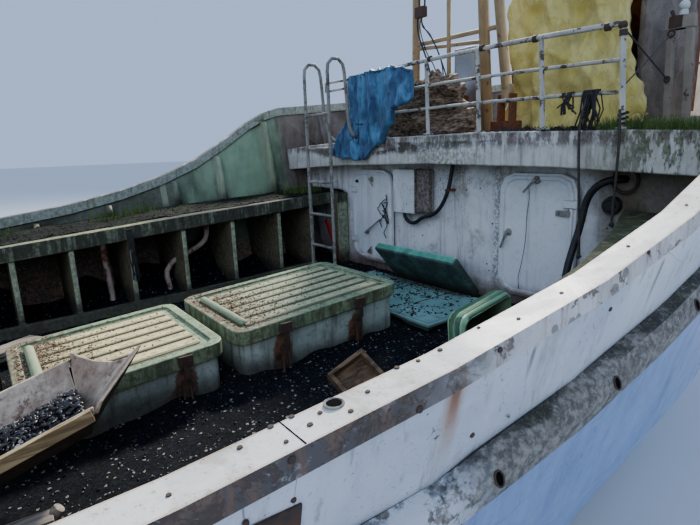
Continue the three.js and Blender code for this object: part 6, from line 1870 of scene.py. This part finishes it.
class TRAWLER_OT_stage(bpy.types.Operator):
    """Lays a pale floor at the waterline and sets soft lights"""

    bl_idname = "trawler.stage"
    bl_label = "Stage"

    def execute(self, context):
        bm = bmesh.new()
        outer, inner = ([bm.verts.new((x, y, 0)) for x, y in ((x1, y1), (x0, y1), (x0, y0), (x1, y0))]
                        for x0, x1, y0, y1 in ((-150, 150, -150, 150), INSIDE_HULL))
        for n in range(4):
            bm.faces.new((outer[n - 1], outer[n], inner[n], inner[n - 1]))
        mesh = bpy.data.meshes.new("floor")
        bm.to_mesh(mesh)
        bm.free()
        floor = bpy.data.objects.new("floor", mesh)
        coat = Coat("floor_paint", 0.9)
        coat.shader.inputs["Base Color"].default_value = shade(214, 218, 220)
        mesh.materials.append(coat.material)
        context.scene.collection.objects.link(floor)
        world = bpy.data.worlds.new("studio")
        world.use_nodes = True
        sky = world.node_tree.nodes["Background"].inputs
        sky["Color"].default_value = shade(178, 203, 244)
        sky["Strength"].default_value = context.scene.trawler.sky_strength
        context.scene.world = world
        for name, at, size, power, tint in (
            ("key", (12.5, 8.0, 12.0), 2.2, context.scene.trawler.key_power, (1.0, 0.95, 0.85)),
            ("fill", (-6, -7, 7), 8.0, 260, (0.86, 0.93, 1.0)),
        ):
            data = bpy.data.lights.new(name, "AREA")
            data.size = size
            data.energy = power
            data.color = tint
            light = bpy.data.objects.new(name, data)
            light.location = at
            light.rotation_mode = "QUATERNION"
            light.rotation_quaternion = (Vector((1.5, 0, 1)) - Vector(at)).to_track_quat("-Z", "Y")
            context.scene.collection.objects.link(light)
        return {"FINISHED"}


class TRAWLER_OT_carried(bpy.types.Operator):
    """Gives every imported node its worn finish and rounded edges"""

    bl_idname = "trawler.carried"
    bl_label = "Hull, Forecastle and Gear"

    def execute(self, context):
        for node, finish, slot, bevel, *other in CARRIED:
            dressed(node, finish, slot, bevel, **dict(*other))
        for node in ("glass_front", "glass_port", "glass_starboard", "glass_aft"):
            mesh = NODES[node].data
            mesh.materials.clear()
            mesh.materials.append(FINISHES["glass"])
        return {"FINISHED"}


class TRAWLER_PT_panel(bpy.types.Panel):
    """Lists the steps that dress the trawler"""

    bl_idname = "TRAWLER_PT_panel"
    bl_label = "Inshore Trawler"
    bl_space_type = "VIEW_3D"
    bl_region_type = "UI"
    bl_category = "Trawler"

    def draw(self, context):
        for key in TrawlerSettings.__annotations__:
            self.layout.prop(context.scene.trawler, key)
        for step in STEPS:
            self.layout.operator(step.bl_idname)


STEPS = (TRAWLER_OT_camera, TRAWLER_OT_lines, TRAWLER_OT_stage, TRAWLER_OT_carried, TRAWLER_OT_litter,
         TRAWLER_OT_covers, TRAWLER_OT_side, TRAWLER_OT_bulkhead, TRAWLER_OT_rigging, TRAWLER_OT_loose,
         TRAWLER_OT_house)
CLASSES = (TrawlerSettings, *STEPS, TRAWLER_PT_panel)


def register():
    for cls in CLASSES:
        bpy.utils.register_class(cls)
    bpy.types.Scene.trawler = bpy.props.PointerProperty(type=TrawlerSettings)


def unregister():
    del bpy.types.Scene.trawler
    for cls in reversed(CLASSES):
        bpy.utils.unregister_class(cls)


def main():
    register()
    for step in STEPS:
        group, name = step.bl_idname.split(".")
        getattr(getattr(bpy.ops, group), name)()


if __name__ == "__main__":
    main()
